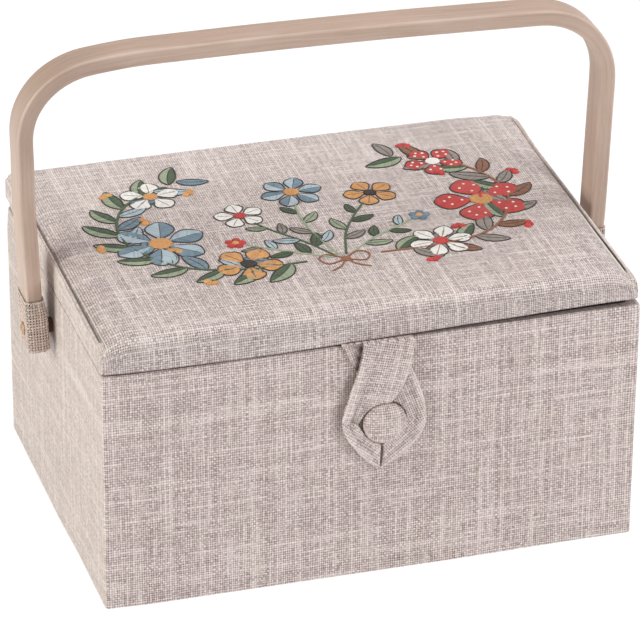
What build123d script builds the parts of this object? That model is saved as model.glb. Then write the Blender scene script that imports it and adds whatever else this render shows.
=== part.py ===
from build123d import *
from math import asin, cos, sin, sqrt, tan, radians
import os

os.makedirs("parts", exist_ok=True)

# A linen-covered sewing box: board case with a padded lid, swing handle, strap closure and tray.
# Frame: origin at the centre of the case's footprint, +X to the right of someone facing the
# button, +Y to the rear, +Z up. Millimetres.

# ---- driving dimensions ----
CASE_W = 320.0       # case and lid, outside, along X
CASE_D = 230.0       # case and lid, outside, along Y
CASE_H = 151.0       # floor to the case's rim
CLOTH = 0.8          # outer linen
BOARD = 5.0          # wall and base boards
EDGE_R = 3.0         # vertical corners, over the cloth
TURN_IN = 14.0       # cloth turned down inside the rim
LID_GAP = 2.0        # between rim and lid
LID_Z = CASE_H + LID_GAP
BAND_H = 16.3        # lid's end bands
LID_H = 19.5         # lid at its padded crown
LID_R = 8.0          # soft front and back top edges of the lid
SEAM_X = 157.2       # seams between lid cover and end bands
SHOULDER_X = 141.0   # where the padded crown starts to fall to the seams
RAIL_H = 7.2
LID_BOARD = 4.0
LINING = 1.6
FLOOR_LINING = 2.0
LEDGE_W = 5.0
LEDGE_TOP = 102.0
TRAY_W, TRAY_D, TRAY_H, TRAY_WALL = 301.0, 211.0, 42.0, 1.6
PIVOT_Y, PIVOT_Z = 2.5, 127.0     # handle's pivot line, along X
BOW_T, BOW_B = 9.2, 21.0          # handle's section: thickness in its plane, breadth along Y
BOW_X = 172.0                     # leg centre at the pivot
BOW_LEAN = 2.39                   # legs lean outwards, degrees
BOW_TOP = 294.0                   # crossbar's centreline at mid span
BOW_R = 44.0                      # bend at each corner
BAR_R = 3600.0                    # slight arch of the crossbar
BOW_END_Z = 116.3
CUFF_TOP_Z = 148.0
CUFF = 0.8
RIVET_R = 2.0
RIVET_FIT = 0.06
BUTTON_X, BUTTON_Z = 5.5, 100.0
BUTTON_R = 12.4
LOOP_R = 13.3
STRAP_T = 2.4
STRAP_Y = 0.5                     # strap stands off the case front
HINGE_Y, HINGE_Z = 115.5, 152.0   # lid's hinge line, along X

IN_W, IN_D = CASE_W - 2 * CLOTH, CASE_D - 2 * CLOTH          # over the boards
OPEN_W, OPEN_D = IN_W - 2 * BOARD, IN_D - 2 * BOARD          # between the boards
BOARD_TOP = CASE_H - CLOTH
FLOOR_Z = CLOTH + BOARD
LINE_W, LINE_D = OPEN_W - 2 * CLOTH, OPEN_D - 2 * CLOTH      # over the lining
ROOM_W, ROOM_D = LINE_W - 2 * LINING, LINE_D - 2 * LINING    # inside the lining
LINING_TOP = 146.0
RAIL_Z = LID_Z + CLOTH
LID_BOARD_Z = RAIL_Z + RAIL_H
PAD_Z = LID_BOARD_Z + LID_BOARD

# ---- case ----
with BuildPart() as bottom_cover:
    with BuildSketch(Plane.XY):
        RectangleRounded(IN_W, IN_D, EDGE_R - CLOTH)
    extrude(amount=CLOTH)

with BuildPart() as base_board:
    with BuildSketch(Plane.XY.offset(CLOTH)):
        Rectangle(OPEN_W, OPEN_D)
    extrude(amount=BOARD)

with BuildPart() as front_board:
    with BuildSketch(Plane.XY.offset(CLOTH)):
        with Locations((0, -(IN_D - BOARD) / 2)):
            Rectangle(IN_W, BOARD)
    extrude(amount=BOARD_TOP - CLOTH)
    fillet(front_board.edges().filter_by(Axis.Z).group_by(Axis.Y)[0], radius=EDGE_R - CLOTH)

with BuildPart() as back_board:
    with BuildSketch(Plane.XY.offset(CLOTH)):
        with Locations((0, (IN_D - BOARD) / 2)):
            Rectangle(IN_W, BOARD)
    extrude(amount=BOARD_TOP - CLOTH)
    fillet(back_board.edges().filter_by(Axis.Z).group_by(Axis.Y)[-1], radius=EDGE_R - CLOTH)

# each side board takes a rivet; its tail and washer are let into the inner face
with BuildPart() as left_board:
    with BuildSketch(Plane.XY.offset(CLOTH)):
        with Locations((-(IN_W - BOARD) / 2, 0)):
            Rectangle(BOARD, OPEN_D)
    extrude(amount=BOARD_TOP - CLOTH)
    with Locations(Plane(origin=(-OPEN_W / 2, PIVOT_Y, PIVOT_Z), x_dir=(0, 1, 0), z_dir=(1, 0, 0))):
        CounterBoreHole(radius=RIVET_R + 0.05, counter_bore_radius=5.2, counter_bore_depth=2.4)

with BuildPart() as right_board:
    with BuildSketch(Plane.XY.offset(CLOTH)):
        with Locations(((IN_W - BOARD) / 2, 0)):
            Rectangle(BOARD, OPEN_D)
    extrude(amount=BOARD_TOP - CLOTH)
    with Locations(Plane(origin=(OPEN_W / 2, PIVOT_Y, PIVOT_Z), x_dir=(0, 1, 0), z_dir=(-1, 0, 0))):
        CounterBoreHole(radius=RIVET_R + 0.05, counter_bore_radius=5.2, counter_bore_depth=2.4)

with BuildPart() as outer_cover:
    with BuildSketch(Plane.XY):
        RectangleRounded(CASE_W, CASE_D, EDGE_R)
    extrude(amount=CASE_H)
    fillet(outer_cover.faces().sort_by(Axis.Z)[-1].edges(), radius=0.7)
    with BuildSketch(Plane.XY):
        RectangleRounded(IN_W, IN_D, EDGE_R - CLOTH)
    extrude(amount=BOARD_TOP, mode=Mode.SUBTRACT)
    with BuildSketch(Plane.XY.offset(CASE_H - TURN_IN)):
        Rectangle(OPEN_W, OPEN_D)
    extrude(amount=TURN_IN - 0.01)
    with BuildSketch(Plane.XY.offset(CASE_H - TURN_IN)):
        Rectangle(LINE_W, LINE_D)
    extrude(amount=TURN_IN + 1, mode=Mode.SUBTRACT)
    with Locations(Location((0, PIVOT_Y, PIVOT_Z), (0, 90, 0))):
        Cylinder(radius=RIVET_R + 0.05, height=CASE_W + 10, mode=Mode.SUBTRACT)

with BuildPart() as floor_lining:
    with BuildSketch(Plane.XY.offset(FLOOR_Z)):
        Rectangle(LINE_W, LINE_D)
    extrude(amount=FLOOR_LINING)

with BuildPart() as front_lining:
    with BuildSketch(Plane.XY.offset(FLOOR_Z + FLOOR_LINING)):
        with Locations((0, -(LINE_D - LINING) / 2)):
            Rectangle(LINE_W, LINING)
    extrude(amount=LINING_TOP - FLOOR_Z - FLOOR_LINING)

with BuildPart() as back_lining:
    with BuildSketch(Plane.XY.offset(FLOOR_Z + FLOOR_LINING)):
        with Locations((0, (LINE_D - LINING) / 2)):
            Rectangle(LINE_W, LINING)
    extrude(amount=LINING_TOP - FLOOR_Z - FLOOR_LINING)

with BuildPart() as left_lining:
    with BuildSketch(Plane.XY.offset(FLOOR_Z + FLOOR_LINING)):
        with Locations((-(LINE_W - LINING) / 2, 0)):
            Rectangle(LINING, ROOM_D)
    extrude(amount=LINING_TOP - FLOOR_Z - FLOOR_LINING)

with BuildPart() as right_lining:
    with BuildSketch(Plane.XY.offset(FLOOR_Z + FLOOR_LINING)):
        with Locations(((LINE_W - LINING) / 2, 0)):
            Rectangle(LINING, ROOM_D)
    extrude(amount=LINING_TOP - FLOOR_Z - FLOOR_LINING)

# the tray's ends rest on these
with BuildPart() as left_ledge:
    with BuildSketch(Plane.XY.offset(FLOOR_Z + FLOOR_LINING)):
        with Locations((-(ROOM_W - LEDGE_W) / 2, 0)):
            Rectangle(LEDGE_W, ROOM_D)
    extrude(amount=LEDGE_TOP - FLOOR_Z - FLOOR_LINING)
    fillet(left_ledge.edges().filter_by(Axis.Y).sort_by(Axis.Z)[-2:].sort_by(Axis.X)[-1], radius=1.5)

with BuildPart() as right_ledge:
    with BuildSketch(Plane.XY.offset(FLOOR_Z + FLOOR_LINING)):
        with Locations(((ROOM_W - LEDGE_W) / 2, 0)):
            Rectangle(LEDGE_W, ROOM_D)
    extrude(amount=LEDGE_TOP - FLOOR_Z - FLOOR_LINING)
    fillet(right_ledge.edges().filter_by(Axis.Y).sort_by(Axis.Z)[-2:].sort_by(Axis.X)[0], radius=1.5)

# cloth hinge, glued on the outside of the back over the gap
with BuildPart() as hinge_cloth:
    with BuildSketch(Plane.XZ.offset(-(CASE_D / 2 + 0.1))):
        with Locations((0, 150.5)):
            RectangleRounded(300, 27, 1.5)
    extrude(amount=-CLOTH)

# ---- button ----
DOME_H = 4.4
DOME_R = (BUTTON_R ** 2 + DOME_H ** 2) / (2 * DOME_H)
DOME_A = asin(BUTTON_R / DOME_R) / 2
with BuildPart() as button_dome:
    with BuildSketch(Plane(origin=(BUTTON_X, 0, BUTTON_Z), x_dir=(1, 0, 0), z_dir=(0, 0, 1))):
        with BuildLine():
            Line((0, -118.0), (BUTTON_R - 1.2, -118.0))
            ThreePointArc((BUTTON_R - 1.2, -118.0), (BUTTON_R - 0.35, -118.35), (BUTTON_R, -119.2))
            Line((BUTTON_R, -119.2), (BUTTON_R, -119.6))
            ThreePointArc(
                (BUTTON_R, -119.6), (DOME_R * sin(DOME_A), -124.0 + DOME_R * (1 - cos(DOME_A))), (0, -124.0),
            )
            Line((0, -124.0), (0, -118.0))
        make_face()
    revolve(axis=Axis((BUTTON_X, 0, BUTTON_Z), (0, 1, 0)))

with BuildPart() as button_back:
    with BuildSketch(Plane.XZ.offset(CASE_D / 2)):
        with Locations((BUTTON_X, BUTTON_Z)):
            Circle(2.6)
    extrude(amount=1.9)
    with BuildSketch(Plane.XZ.offset(CASE_D / 2 + 1.9)):
        with Locations((BUTTON_X, BUTTON_Z)):
            Circle(10.6)
    extrude(amount=1.1)

# ---- handle pivots: a rivet through cuff, bow, spacer, cover and board, peened over a washer ----
PIVOT_PLANE = Plane(origin=(0, PIVOT_Y, PIVOT_Z), x_dir=(1, 0, 0), z_dir=(0, -1, 0))
PIVOT_AXIS = Axis((0, PIVOT_Y, PIVOT_Z), (1, 0, 0))
WASHER_X = OPEN_W / 2 + 2.4
HEAD_X = BOW_X + BOW_T / 2 + CUFF + 0.5
HEAD_R, HEAD_H = 4.0, 1.3
CAP_R = (HEAD_R ** 2 + HEAD_H ** 2) / (2 * HEAD_H)
CAP_A = asin(HEAD_R / CAP_R) / 2

with BuildPart() as pivot_rivets:
    with BuildSketch(PIVOT_PLANE):
        with BuildLine():
            Polyline(
                (-WASHER_X + 1.8, 0), (-WASHER_X + 1.8, 2.6), (-WASHER_X + 0.8, 3.4),
                (-WASHER_X + 0.8, RIVET_R), (-HEAD_X, RIVET_R), (-HEAD_X, HEAD_R), (-HEAD_X - 0.3, HEAD_R),
            )
            ThreePointArc(
                (-HEAD_X - 0.3, HEAD_R), (-HEAD_X - 1.6 + CAP_R * (1 - cos(CAP_A)), CAP_R * sin(CAP_A)),
                (-HEAD_X - 1.6, 0),
            )
            Line((-HEAD_X - 1.6, 0), (-WASHER_X + 1.8, 0))
        make_face()
    revolve(axis=PIVOT_AXIS)
    mirror(about=Plane.YZ)

with BuildPart() as rivet_washers:
    with BuildSketch(Plane(origin=(-WASHER_X, PIVOT_Y, PIVOT_Z), x_dir=(0, 1, 0), z_dir=(1, 0, 0))):
        Circle(4.8)
        Circle(RIVET_R, mode=Mode.SUBTRACT)
    extrude(amount=0.8)
    mirror(about=Plane.YZ)

with BuildPart() as pivot_spacers:
    with BuildSketch(Plane(origin=(-CASE_W / 2, PIVOT_Y, PIVOT_Z), x_dir=(0, 1, 0), z_dir=(-1, 0, 0))):
        Circle(4.5)
        Circle(RIVET_R, mode=Mode.SUBTRACT)
    extrude(amount=BOW_X - BOW_T / 2 - CUFF - CASE_W / 2 - 0.4)
    mirror(about=Plane.YZ)

# ---- handle ----
# The path is a leg, a bend, a slightly arched crossbar, a bend and a leg, all tangent.
_a = radians(BOW_LEAN)
_bar_c = BOW_TOP - BAR_R                                  # centre of the crossbar's arc, on X = 0
_px, _pz = BOW_X - BOW_R * cos(_a), PIVOT_Z + BOW_R * sin(_a)
_dz = _pz - _bar_c                                        # bend centre = (_px, _pz) + s (sin, cos)
_b = _px * sin(_a) + _dz * cos(_a)
_s = -_b + sqrt(_b * _b - (_px * _px + _dz * _dz - (BAR_R - BOW_R) ** 2))
BEND_X, BEND_Z = _px + _s * sin(_a), _pz + _s * cos(_a)
LEG_X, LEG_Z = BEND_X + BOW_R * cos(_a), BEND_Z - BOW_R * sin(_a)
_n = sqrt(BEND_X ** 2 + (BEND_Z - _bar_c) ** 2)
BAR_X, BAR_Z = BEND_X + BOW_R * BEND_X / _n, BEND_Z + BOW_R * (BEND_Z - _bar_c) / _n
END_X = BOW_X - (PIVOT_Z - BOW_END_Z) * tan(_a)
MID_X = BEND_X + BOW_R * sin(radians(48))
MID_Z = BEND_Z + BOW_R * cos(radians(48))

with BuildPart() as handle_bow:
    with BuildLine(Plane.XZ.offset(-PIVOT_Y)) as bow_path:
        Line((-END_X, BOW_END_Z), (-LEG_X, LEG_Z))
        ThreePointArc((-LEG_X, LEG_Z), (-MID_X, MID_Z), (-BAR_X, BAR_Z))
        ThreePointArc((-BAR_X, BAR_Z), (0, BOW_TOP), (BAR_X, BAR_Z))
        ThreePointArc((BAR_X, BAR_Z), (MID_X, MID_Z), (LEG_X, LEG_Z))
        Line((LEG_X, LEG_Z), (END_X, BOW_END_Z))
    with BuildSketch(Plane(origin=(-END_X, PIVOT_Y, BOW_END_Z), x_dir=(0, 1, 0), z_dir=(-sin(_a), 0, cos(_a)))):
        RectangleRounded(BOW_B, BOW_T, 1.6)
    sweep(path=bow_path.line)
    with Locations(Location((0, PIVOT_Y, PIVOT_Z), (0, 90, 0))):
        Cylinder(radius=RIVET_R + RIVET_FIT, height=400, mode=Mode.SUBTRACT)

# burlap pockets drawn over the bow's ends
CUFF_L = (CUFF_TOP_Z - BOW_END_Z) / cos(_a) + CUFF
CUFF_PLANE = Plane(
    origin=(-END_X + CUFF * sin(_a), PIVOT_Y, BOW_END_Z - CUFF * cos(_a)),
    x_dir=(0, 1, 0), z_dir=(-sin(_a), 0, cos(_a)),
)
with BuildPart() as left_cuff:
    with BuildSketch(CUFF_PLANE):
        RectangleRounded(BOW_B + 2 * CUFF, BOW_T + 2 * CUFF, 1.6 + CUFF)
    extrude(amount=CUFF_L)
    with BuildSketch(CUFF_PLANE.offset(CUFF)):
        RectangleRounded(BOW_B, BOW_T, 1.6)
    extrude(amount=CUFF_L, mode=Mode.SUBTRACT)
    with Locations(Location((0, PIVOT_Y, PIVOT_Z), (0, 90, 0))):
        Cylinder(radius=RIVET_R + RIVET_FIT, height=400, mode=Mode.SUBTRACT)

CUFF_PLANE_R = Plane(
    origin=(END_X - CUFF * sin(_a), PIVOT_Y, BOW_END_Z - CUFF * cos(_a)),
    x_dir=(0, 1, 0), z_dir=(sin(_a), 0, cos(_a)),
)
with BuildPart() as right_cuff:
    with BuildSketch(CUFF_PLANE_R):
        RectangleRounded(BOW_B + 2 * CUFF, BOW_T + 2 * CUFF, 1.6 + CUFF)
    extrude(amount=CUFF_L)
    with BuildSketch(CUFF_PLANE_R.offset(CUFF)):
        RectangleRounded(BOW_B, BOW_T, 1.6)
    extrude(amount=CUFF_L, mode=Mode.SUBTRACT)
    with Locations(Location((0, PIVOT_Y, PIVOT_Z), (0, 90, 0))):
        Cylinder(radius=RIVET_R + RIVET_FIT, height=400, mode=Mode.SUBTRACT)

# ---- tray: one moulding, two front bins and four small ones behind ----
DIV_Y = 22.0
DIV_T = 1.5
FRONT_DIV_X = 40.0
REAR_DIV_X = (-75.0, 0.0, 75.0)
TRAY_Z = LEDGE_TOP + 0.3
with BuildPart() as tray:
    with BuildSketch(Plane.XY.offset(TRAY_Z)):
        RectangleRounded(TRAY_W, TRAY_D, 6)
    extrude(amount=TRAY_H)
    fillet(tray.faces().sort_by(Axis.Z)[0].edges(), radius=1.5)
    with BuildSketch(Plane.XY.offset(TRAY_Z + TRAY_WALL)):
        RectangleRounded(TRAY_W - 2 * TRAY_WALL, TRAY_D - 2 * TRAY_WALL, 6 - TRAY_WALL)
    extrude(amount=TRAY_H, mode=Mode.SUBTRACT)
    with BuildSketch(Plane.XY.offset(TRAY_Z + TRAY_WALL)):
        with Locations((0, DIV_Y)):
            Rectangle(TRAY_W - 2 * TRAY_WALL, DIV_T)
        with Locations((FRONT_DIV_X, (DIV_Y - TRAY_D / 2 + TRAY_WALL) / 2)):
            Rectangle(DIV_T, DIV_Y + TRAY_D / 2 - TRAY_WALL)
        with Locations(*[(x, (DIV_Y + TRAY_D / 2 - TRAY_WALL) / 2) for x in REAR_DIV_X]):
            Rectangle(DIV_T, TRAY_D / 2 - TRAY_WALL - DIV_Y)
    extrude(amount=TRAY_H - TRAY_WALL - 3)

# ---- lid ----
with BuildPart() as lid_front_rail:
    with BuildSketch(Plane.XY.offset(RAIL_Z)):
        with Locations((0, -(IN_D - BOARD) / 2)):
            Rectangle(IN_W, BOARD)
    extrude(amount=RAIL_H)
    fillet(lid_front_rail.edges().filter_by(Axis.Z).group_by(Axis.Y)[0], radius=EDGE_R - CLOTH)

with BuildPart() as lid_back_rail:
    with BuildSketch(Plane.XY.offset(RAIL_Z)):
        with Locations((0, (IN_D - BOARD) / 2)):
            Rectangle(IN_W, BOARD)
    extrude(amount=RAIL_H)
    fillet(lid_back_rail.edges().filter_by(Axis.Z).group_by(Axis.Y)[-1], radius=EDGE_R - CLOTH)

with BuildPart() as lid_left_rail:
    with BuildSketch(Plane.XY.offset(RAIL_Z)):
        with Locations((-(IN_W - BOARD) / 2, 0)):
            Rectangle(BOARD, OPEN_D)
    extrude(amount=RAIL_H)

with BuildPart() as lid_right_rail:
    with BuildSketch(Plane.XY.offset(RAIL_Z)):
        with Locations(((IN_W - BOARD) / 2, 0)):
            Rectangle(BOARD, OPEN_D)
    extrude(amount=RAIL_H)

with BuildPart() as lid_board:
    with BuildSketch(Plane.XY.offset(LID_BOARD_Z)):
        RectangleRounded(IN_W - 2.0, IN_D - 2.0, EDGE_R - CLOTH)
    extrude(amount=LID_BOARD)

# outline of the lid seen from its end, drawn in the current BuildLine
def end_outline(inset, top, r):
    y = CASE_D / 2 - inset
    Polyline((-y, top - r), (-y, LID_Z + inset), (y, LID_Z + inset), (y, top - r))
    RadiusArc((y, top - r), (y - r, top), -r)
    Line((y - r, top), (-y + r, top))
    RadiusArc((-y + r, top), (-y, top - r), -r)


# the crown falls to the seams at both ends
def front_outline(drop, bottom):
    hi, lo = LID_Z + LID_H - drop, LID_Z + BAND_H - drop
    Polyline(
        (-CASE_W / 2, bottom), (-CASE_W / 2, lo), (-SEAM_X, lo), (-SHOULDER_X, hi),
        (SHOULDER_X, hi), (SEAM_X, lo), (CASE_W / 2, lo), (CASE_W / 2, bottom), close=True,
    )


with BuildPart() as lid_padding:
    with BuildSketch(Plane.YZ.offset(-SEAM_X)):
        with BuildLine():
            end_outline(CLOTH, LID_Z + LID_H - CLOTH, LID_R - CLOTH)
        make_face()
    extrude(amount=2 * SEAM_X)
    with BuildSketch(Plane.XZ.offset(-CASE_D)):
        with BuildLine():
            front_outline(CLOTH, PAD_Z)
        make_face()
    extrude(amount=2 * CASE_D, mode=Mode.INTERSECT)

with BuildPart() as lid_inside:
    with BuildSketch(Plane.YZ.offset(-CASE_W)):
        with BuildLine():
            end_outline(CLOTH, LID_Z + LID_H - CLOTH, LID_R - CLOTH)
        make_face()
    extrude(amount=2 * CASE_W)
    with BuildSketch(Plane.XZ.offset(-CASE_D)):
        with BuildLine():
            front_outline(CLOTH, LID_Z)
        make_face()
    extrude(amount=2 * CASE_D, mode=Mode.INTERSECT)

with BuildPart() as lid_cover:
    with BuildSketch(Plane.YZ.offset(-SEAM_X)):
        with BuildLine():
            end_outline(0, LID_Z + LID_H, LID_R)
        make_face()
    extrude(amount=2 * SEAM_X)
    with BuildSketch(Plane.XZ.offset(-CASE_D)):
        with BuildLine():
            front_outline(0, LID_Z)
        make_face()
    extrude(amount=2 * CASE_D, mode=Mode.INTERSECT)
    add(lid_inside.part, mode=Mode.SUBTRACT)
    with BuildSketch(Plane.XY.offset(LID_Z - 1)):
        Rectangle(CASE_W, OPEN_D)
    extrude(amount=3, mode=Mode.SUBTRACT)

for _name, _sign in (("lid_left_band", -1), ("lid_right_band", 1)):
    with BuildPart() as band:
        with BuildSketch(Plane.XY.offset(LID_Z)):
            RectangleRounded(CASE_W, CASE_D, EDGE_R)
        extrude(amount=BAND_H)
        fillet(band.faces().sort_by(Axis.Z)[-1].edges(), radius=2.0)
        with BuildSketch(Plane.XY.offset(RAIL_Z)):
            RectangleRounded(IN_W, IN_D, EDGE_R - CLOTH)
        extrude(amount=BAND_H - 2 * CLOTH, mode=Mode.SUBTRACT)
        with BuildSketch(Plane.XY.offset(LID_Z - 1)):
            Rectangle(OPEN_W, OPEN_D)
        extrude(amount=3, mode=Mode.SUBTRACT)
        with BuildSketch(Plane.XY.offset(LID_Z - 1)):
            with Locations((-_sign * CASE_W / 2, 0)):
                Rectangle(CASE_W + 2 * SEAM_X, CASE_D + 2)
        extrude(amount=30, mode=Mode.SUBTRACT)
        with BuildSketch(Plane.XY.offset(LID_Z)):
            with Locations((_sign * (OPEN_W / 2 + SEAM_X) / 2, 0)):
                Rectangle(SEAM_X - OPEN_W / 2, OPEN_D)
        extrude(amount=CLOTH)
    if _sign < 0:
        lid_left_band = band
    else:
        lid_right_band = band

with BuildPart() as lid_lining:
    with BuildSketch(Plane.XY.offset(LID_BOARD_Z - 1.2)):
        Rectangle(LINE_W, LINE_D)
    extrude(amount=1.2)

with BuildPart() as lid_pocket:
    with BuildSketch(Plane.XY.offset(LID_BOARD_Z - 1.2 - 2.0)):
        with Locations((-40, 5)):
            RectangleRounded(200, 150, 4)
    extrude(amount=2.0)

with BuildPart() as pocket_elastic:
    with BuildSketch(Plane.XY.offset(LID_BOARD_Z - 1.2 - 2.0 - 0.9)):
        with Locations((-40, -65)):
            Rectangle(198, 7)
    extrude(amount=0.9)

with BuildPart() as pin_cushion:
    with BuildSketch(Plane.XY.offset(LID_BOARD_Z - 1.2 - 5.5)):
        with Locations((108, 0)):
            RectangleRounded(62, 96, 20)
    extrude(amount=5.5)
    fillet(pin_cushion.faces().sort_by(Axis.Z)[0].edges(), radius=3.5)

# ---- closure strap: its outline with the loop for the button and the slit under it ----
with BuildPart() as closure_strap:
    with BuildSketch(Plane.XZ.offset(CASE_D / 2 + STRAP_Y)):
        with BuildLine():
            Polyline(
                (-19.8, 152.6), (23.7, 152.6), (21.5, 134.5), (27.1, 120.7), (30.6, 98.0), (27.4, 90.0),
                (17.9, 77.5), (3.0, 69.3), (-8.1, 78.9), (-16.8, 92.7), (-20.2, 106.0), (-16.7, 120.7),
                (-11.4, 135.0), close=True,
            )
        make_face()
        with Locations((BUTTON_X, BUTTON_Z)):
            Circle(LOOP_R, mode=Mode.SUBTRACT)
        with Locations((4.2, 81.5)):
            Rectangle(0.8, 14, mode=Mode.SUBTRACT)
    extrude(amount=STRAP_T)

# ---- labels and export ----
pieces = {
    "bottom_cover": bottom_cover, "base_board": base_board, "front_board": front_board,
    "back_board": back_board, "left_board": left_board, "right_board": right_board,
    "outer_cover": outer_cover, "floor_lining": floor_lining, "front_lining": front_lining,
    "back_lining": back_lining, "left_lining": left_lining, "right_lining": right_lining,
    "left_ledge": left_ledge, "right_ledge": right_ledge, "hinge_cloth": hinge_cloth,
    "button_dome": button_dome, "button_back": button_back, "pivot_rivets": pivot_rivets,
    "rivet_washers": rivet_washers, "pivot_spacers": pivot_spacers, "handle_bow": handle_bow,
    "left_cuff": left_cuff, "right_cuff": right_cuff, "tray": tray,
    "lid_front_rail": lid_front_rail, "lid_back_rail": lid_back_rail,
    "lid_left_rail": lid_left_rail, "lid_right_rail": lid_right_rail, "lid_board": lid_board,
    "lid_padding": lid_padding, "lid_cover": lid_cover, "lid_left_band": lid_left_band,
    "lid_right_band": lid_right_band, "lid_lining": lid_lining, "lid_pocket": lid_pocket,
    "pocket_elastic": pocket_elastic, "pin_cushion": pin_cushion, "closure_strap": closure_strap,
}
for name, piece in pieces.items():
    piece.part.label = name
    export_step(piece.part, f"parts/{name}.step")
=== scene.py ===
import math

import bmesh
import bpy
import numpy as np
from mathutils import Matrix, Vector

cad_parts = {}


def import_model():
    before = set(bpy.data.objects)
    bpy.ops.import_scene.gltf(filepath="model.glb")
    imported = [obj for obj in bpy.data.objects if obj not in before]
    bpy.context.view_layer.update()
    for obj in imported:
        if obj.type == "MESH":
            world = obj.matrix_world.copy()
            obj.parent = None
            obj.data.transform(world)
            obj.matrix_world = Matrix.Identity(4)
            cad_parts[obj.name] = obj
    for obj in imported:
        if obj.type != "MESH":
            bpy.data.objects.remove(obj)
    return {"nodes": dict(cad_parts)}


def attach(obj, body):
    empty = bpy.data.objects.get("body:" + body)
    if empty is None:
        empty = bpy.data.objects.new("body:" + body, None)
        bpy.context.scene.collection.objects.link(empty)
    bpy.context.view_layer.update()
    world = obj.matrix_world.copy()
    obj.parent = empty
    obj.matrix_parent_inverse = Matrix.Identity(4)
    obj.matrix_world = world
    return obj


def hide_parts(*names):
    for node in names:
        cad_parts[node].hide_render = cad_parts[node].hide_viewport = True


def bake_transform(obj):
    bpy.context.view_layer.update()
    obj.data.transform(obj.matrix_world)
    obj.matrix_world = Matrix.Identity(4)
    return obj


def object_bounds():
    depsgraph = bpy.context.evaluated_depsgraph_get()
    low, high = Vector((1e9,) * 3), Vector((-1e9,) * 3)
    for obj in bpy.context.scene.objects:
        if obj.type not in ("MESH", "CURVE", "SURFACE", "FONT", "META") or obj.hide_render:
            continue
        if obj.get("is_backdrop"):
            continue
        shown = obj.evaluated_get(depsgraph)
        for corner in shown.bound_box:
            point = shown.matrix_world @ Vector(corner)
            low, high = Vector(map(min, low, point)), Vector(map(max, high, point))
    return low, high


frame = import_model()
cad_low, cad_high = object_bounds()
NODES = frame["nodes"]
PI = math.pi

# Lengths below are millimetres unless a name says otherwise; meshes are scaled to metres when made.
MM = 0.001


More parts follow.
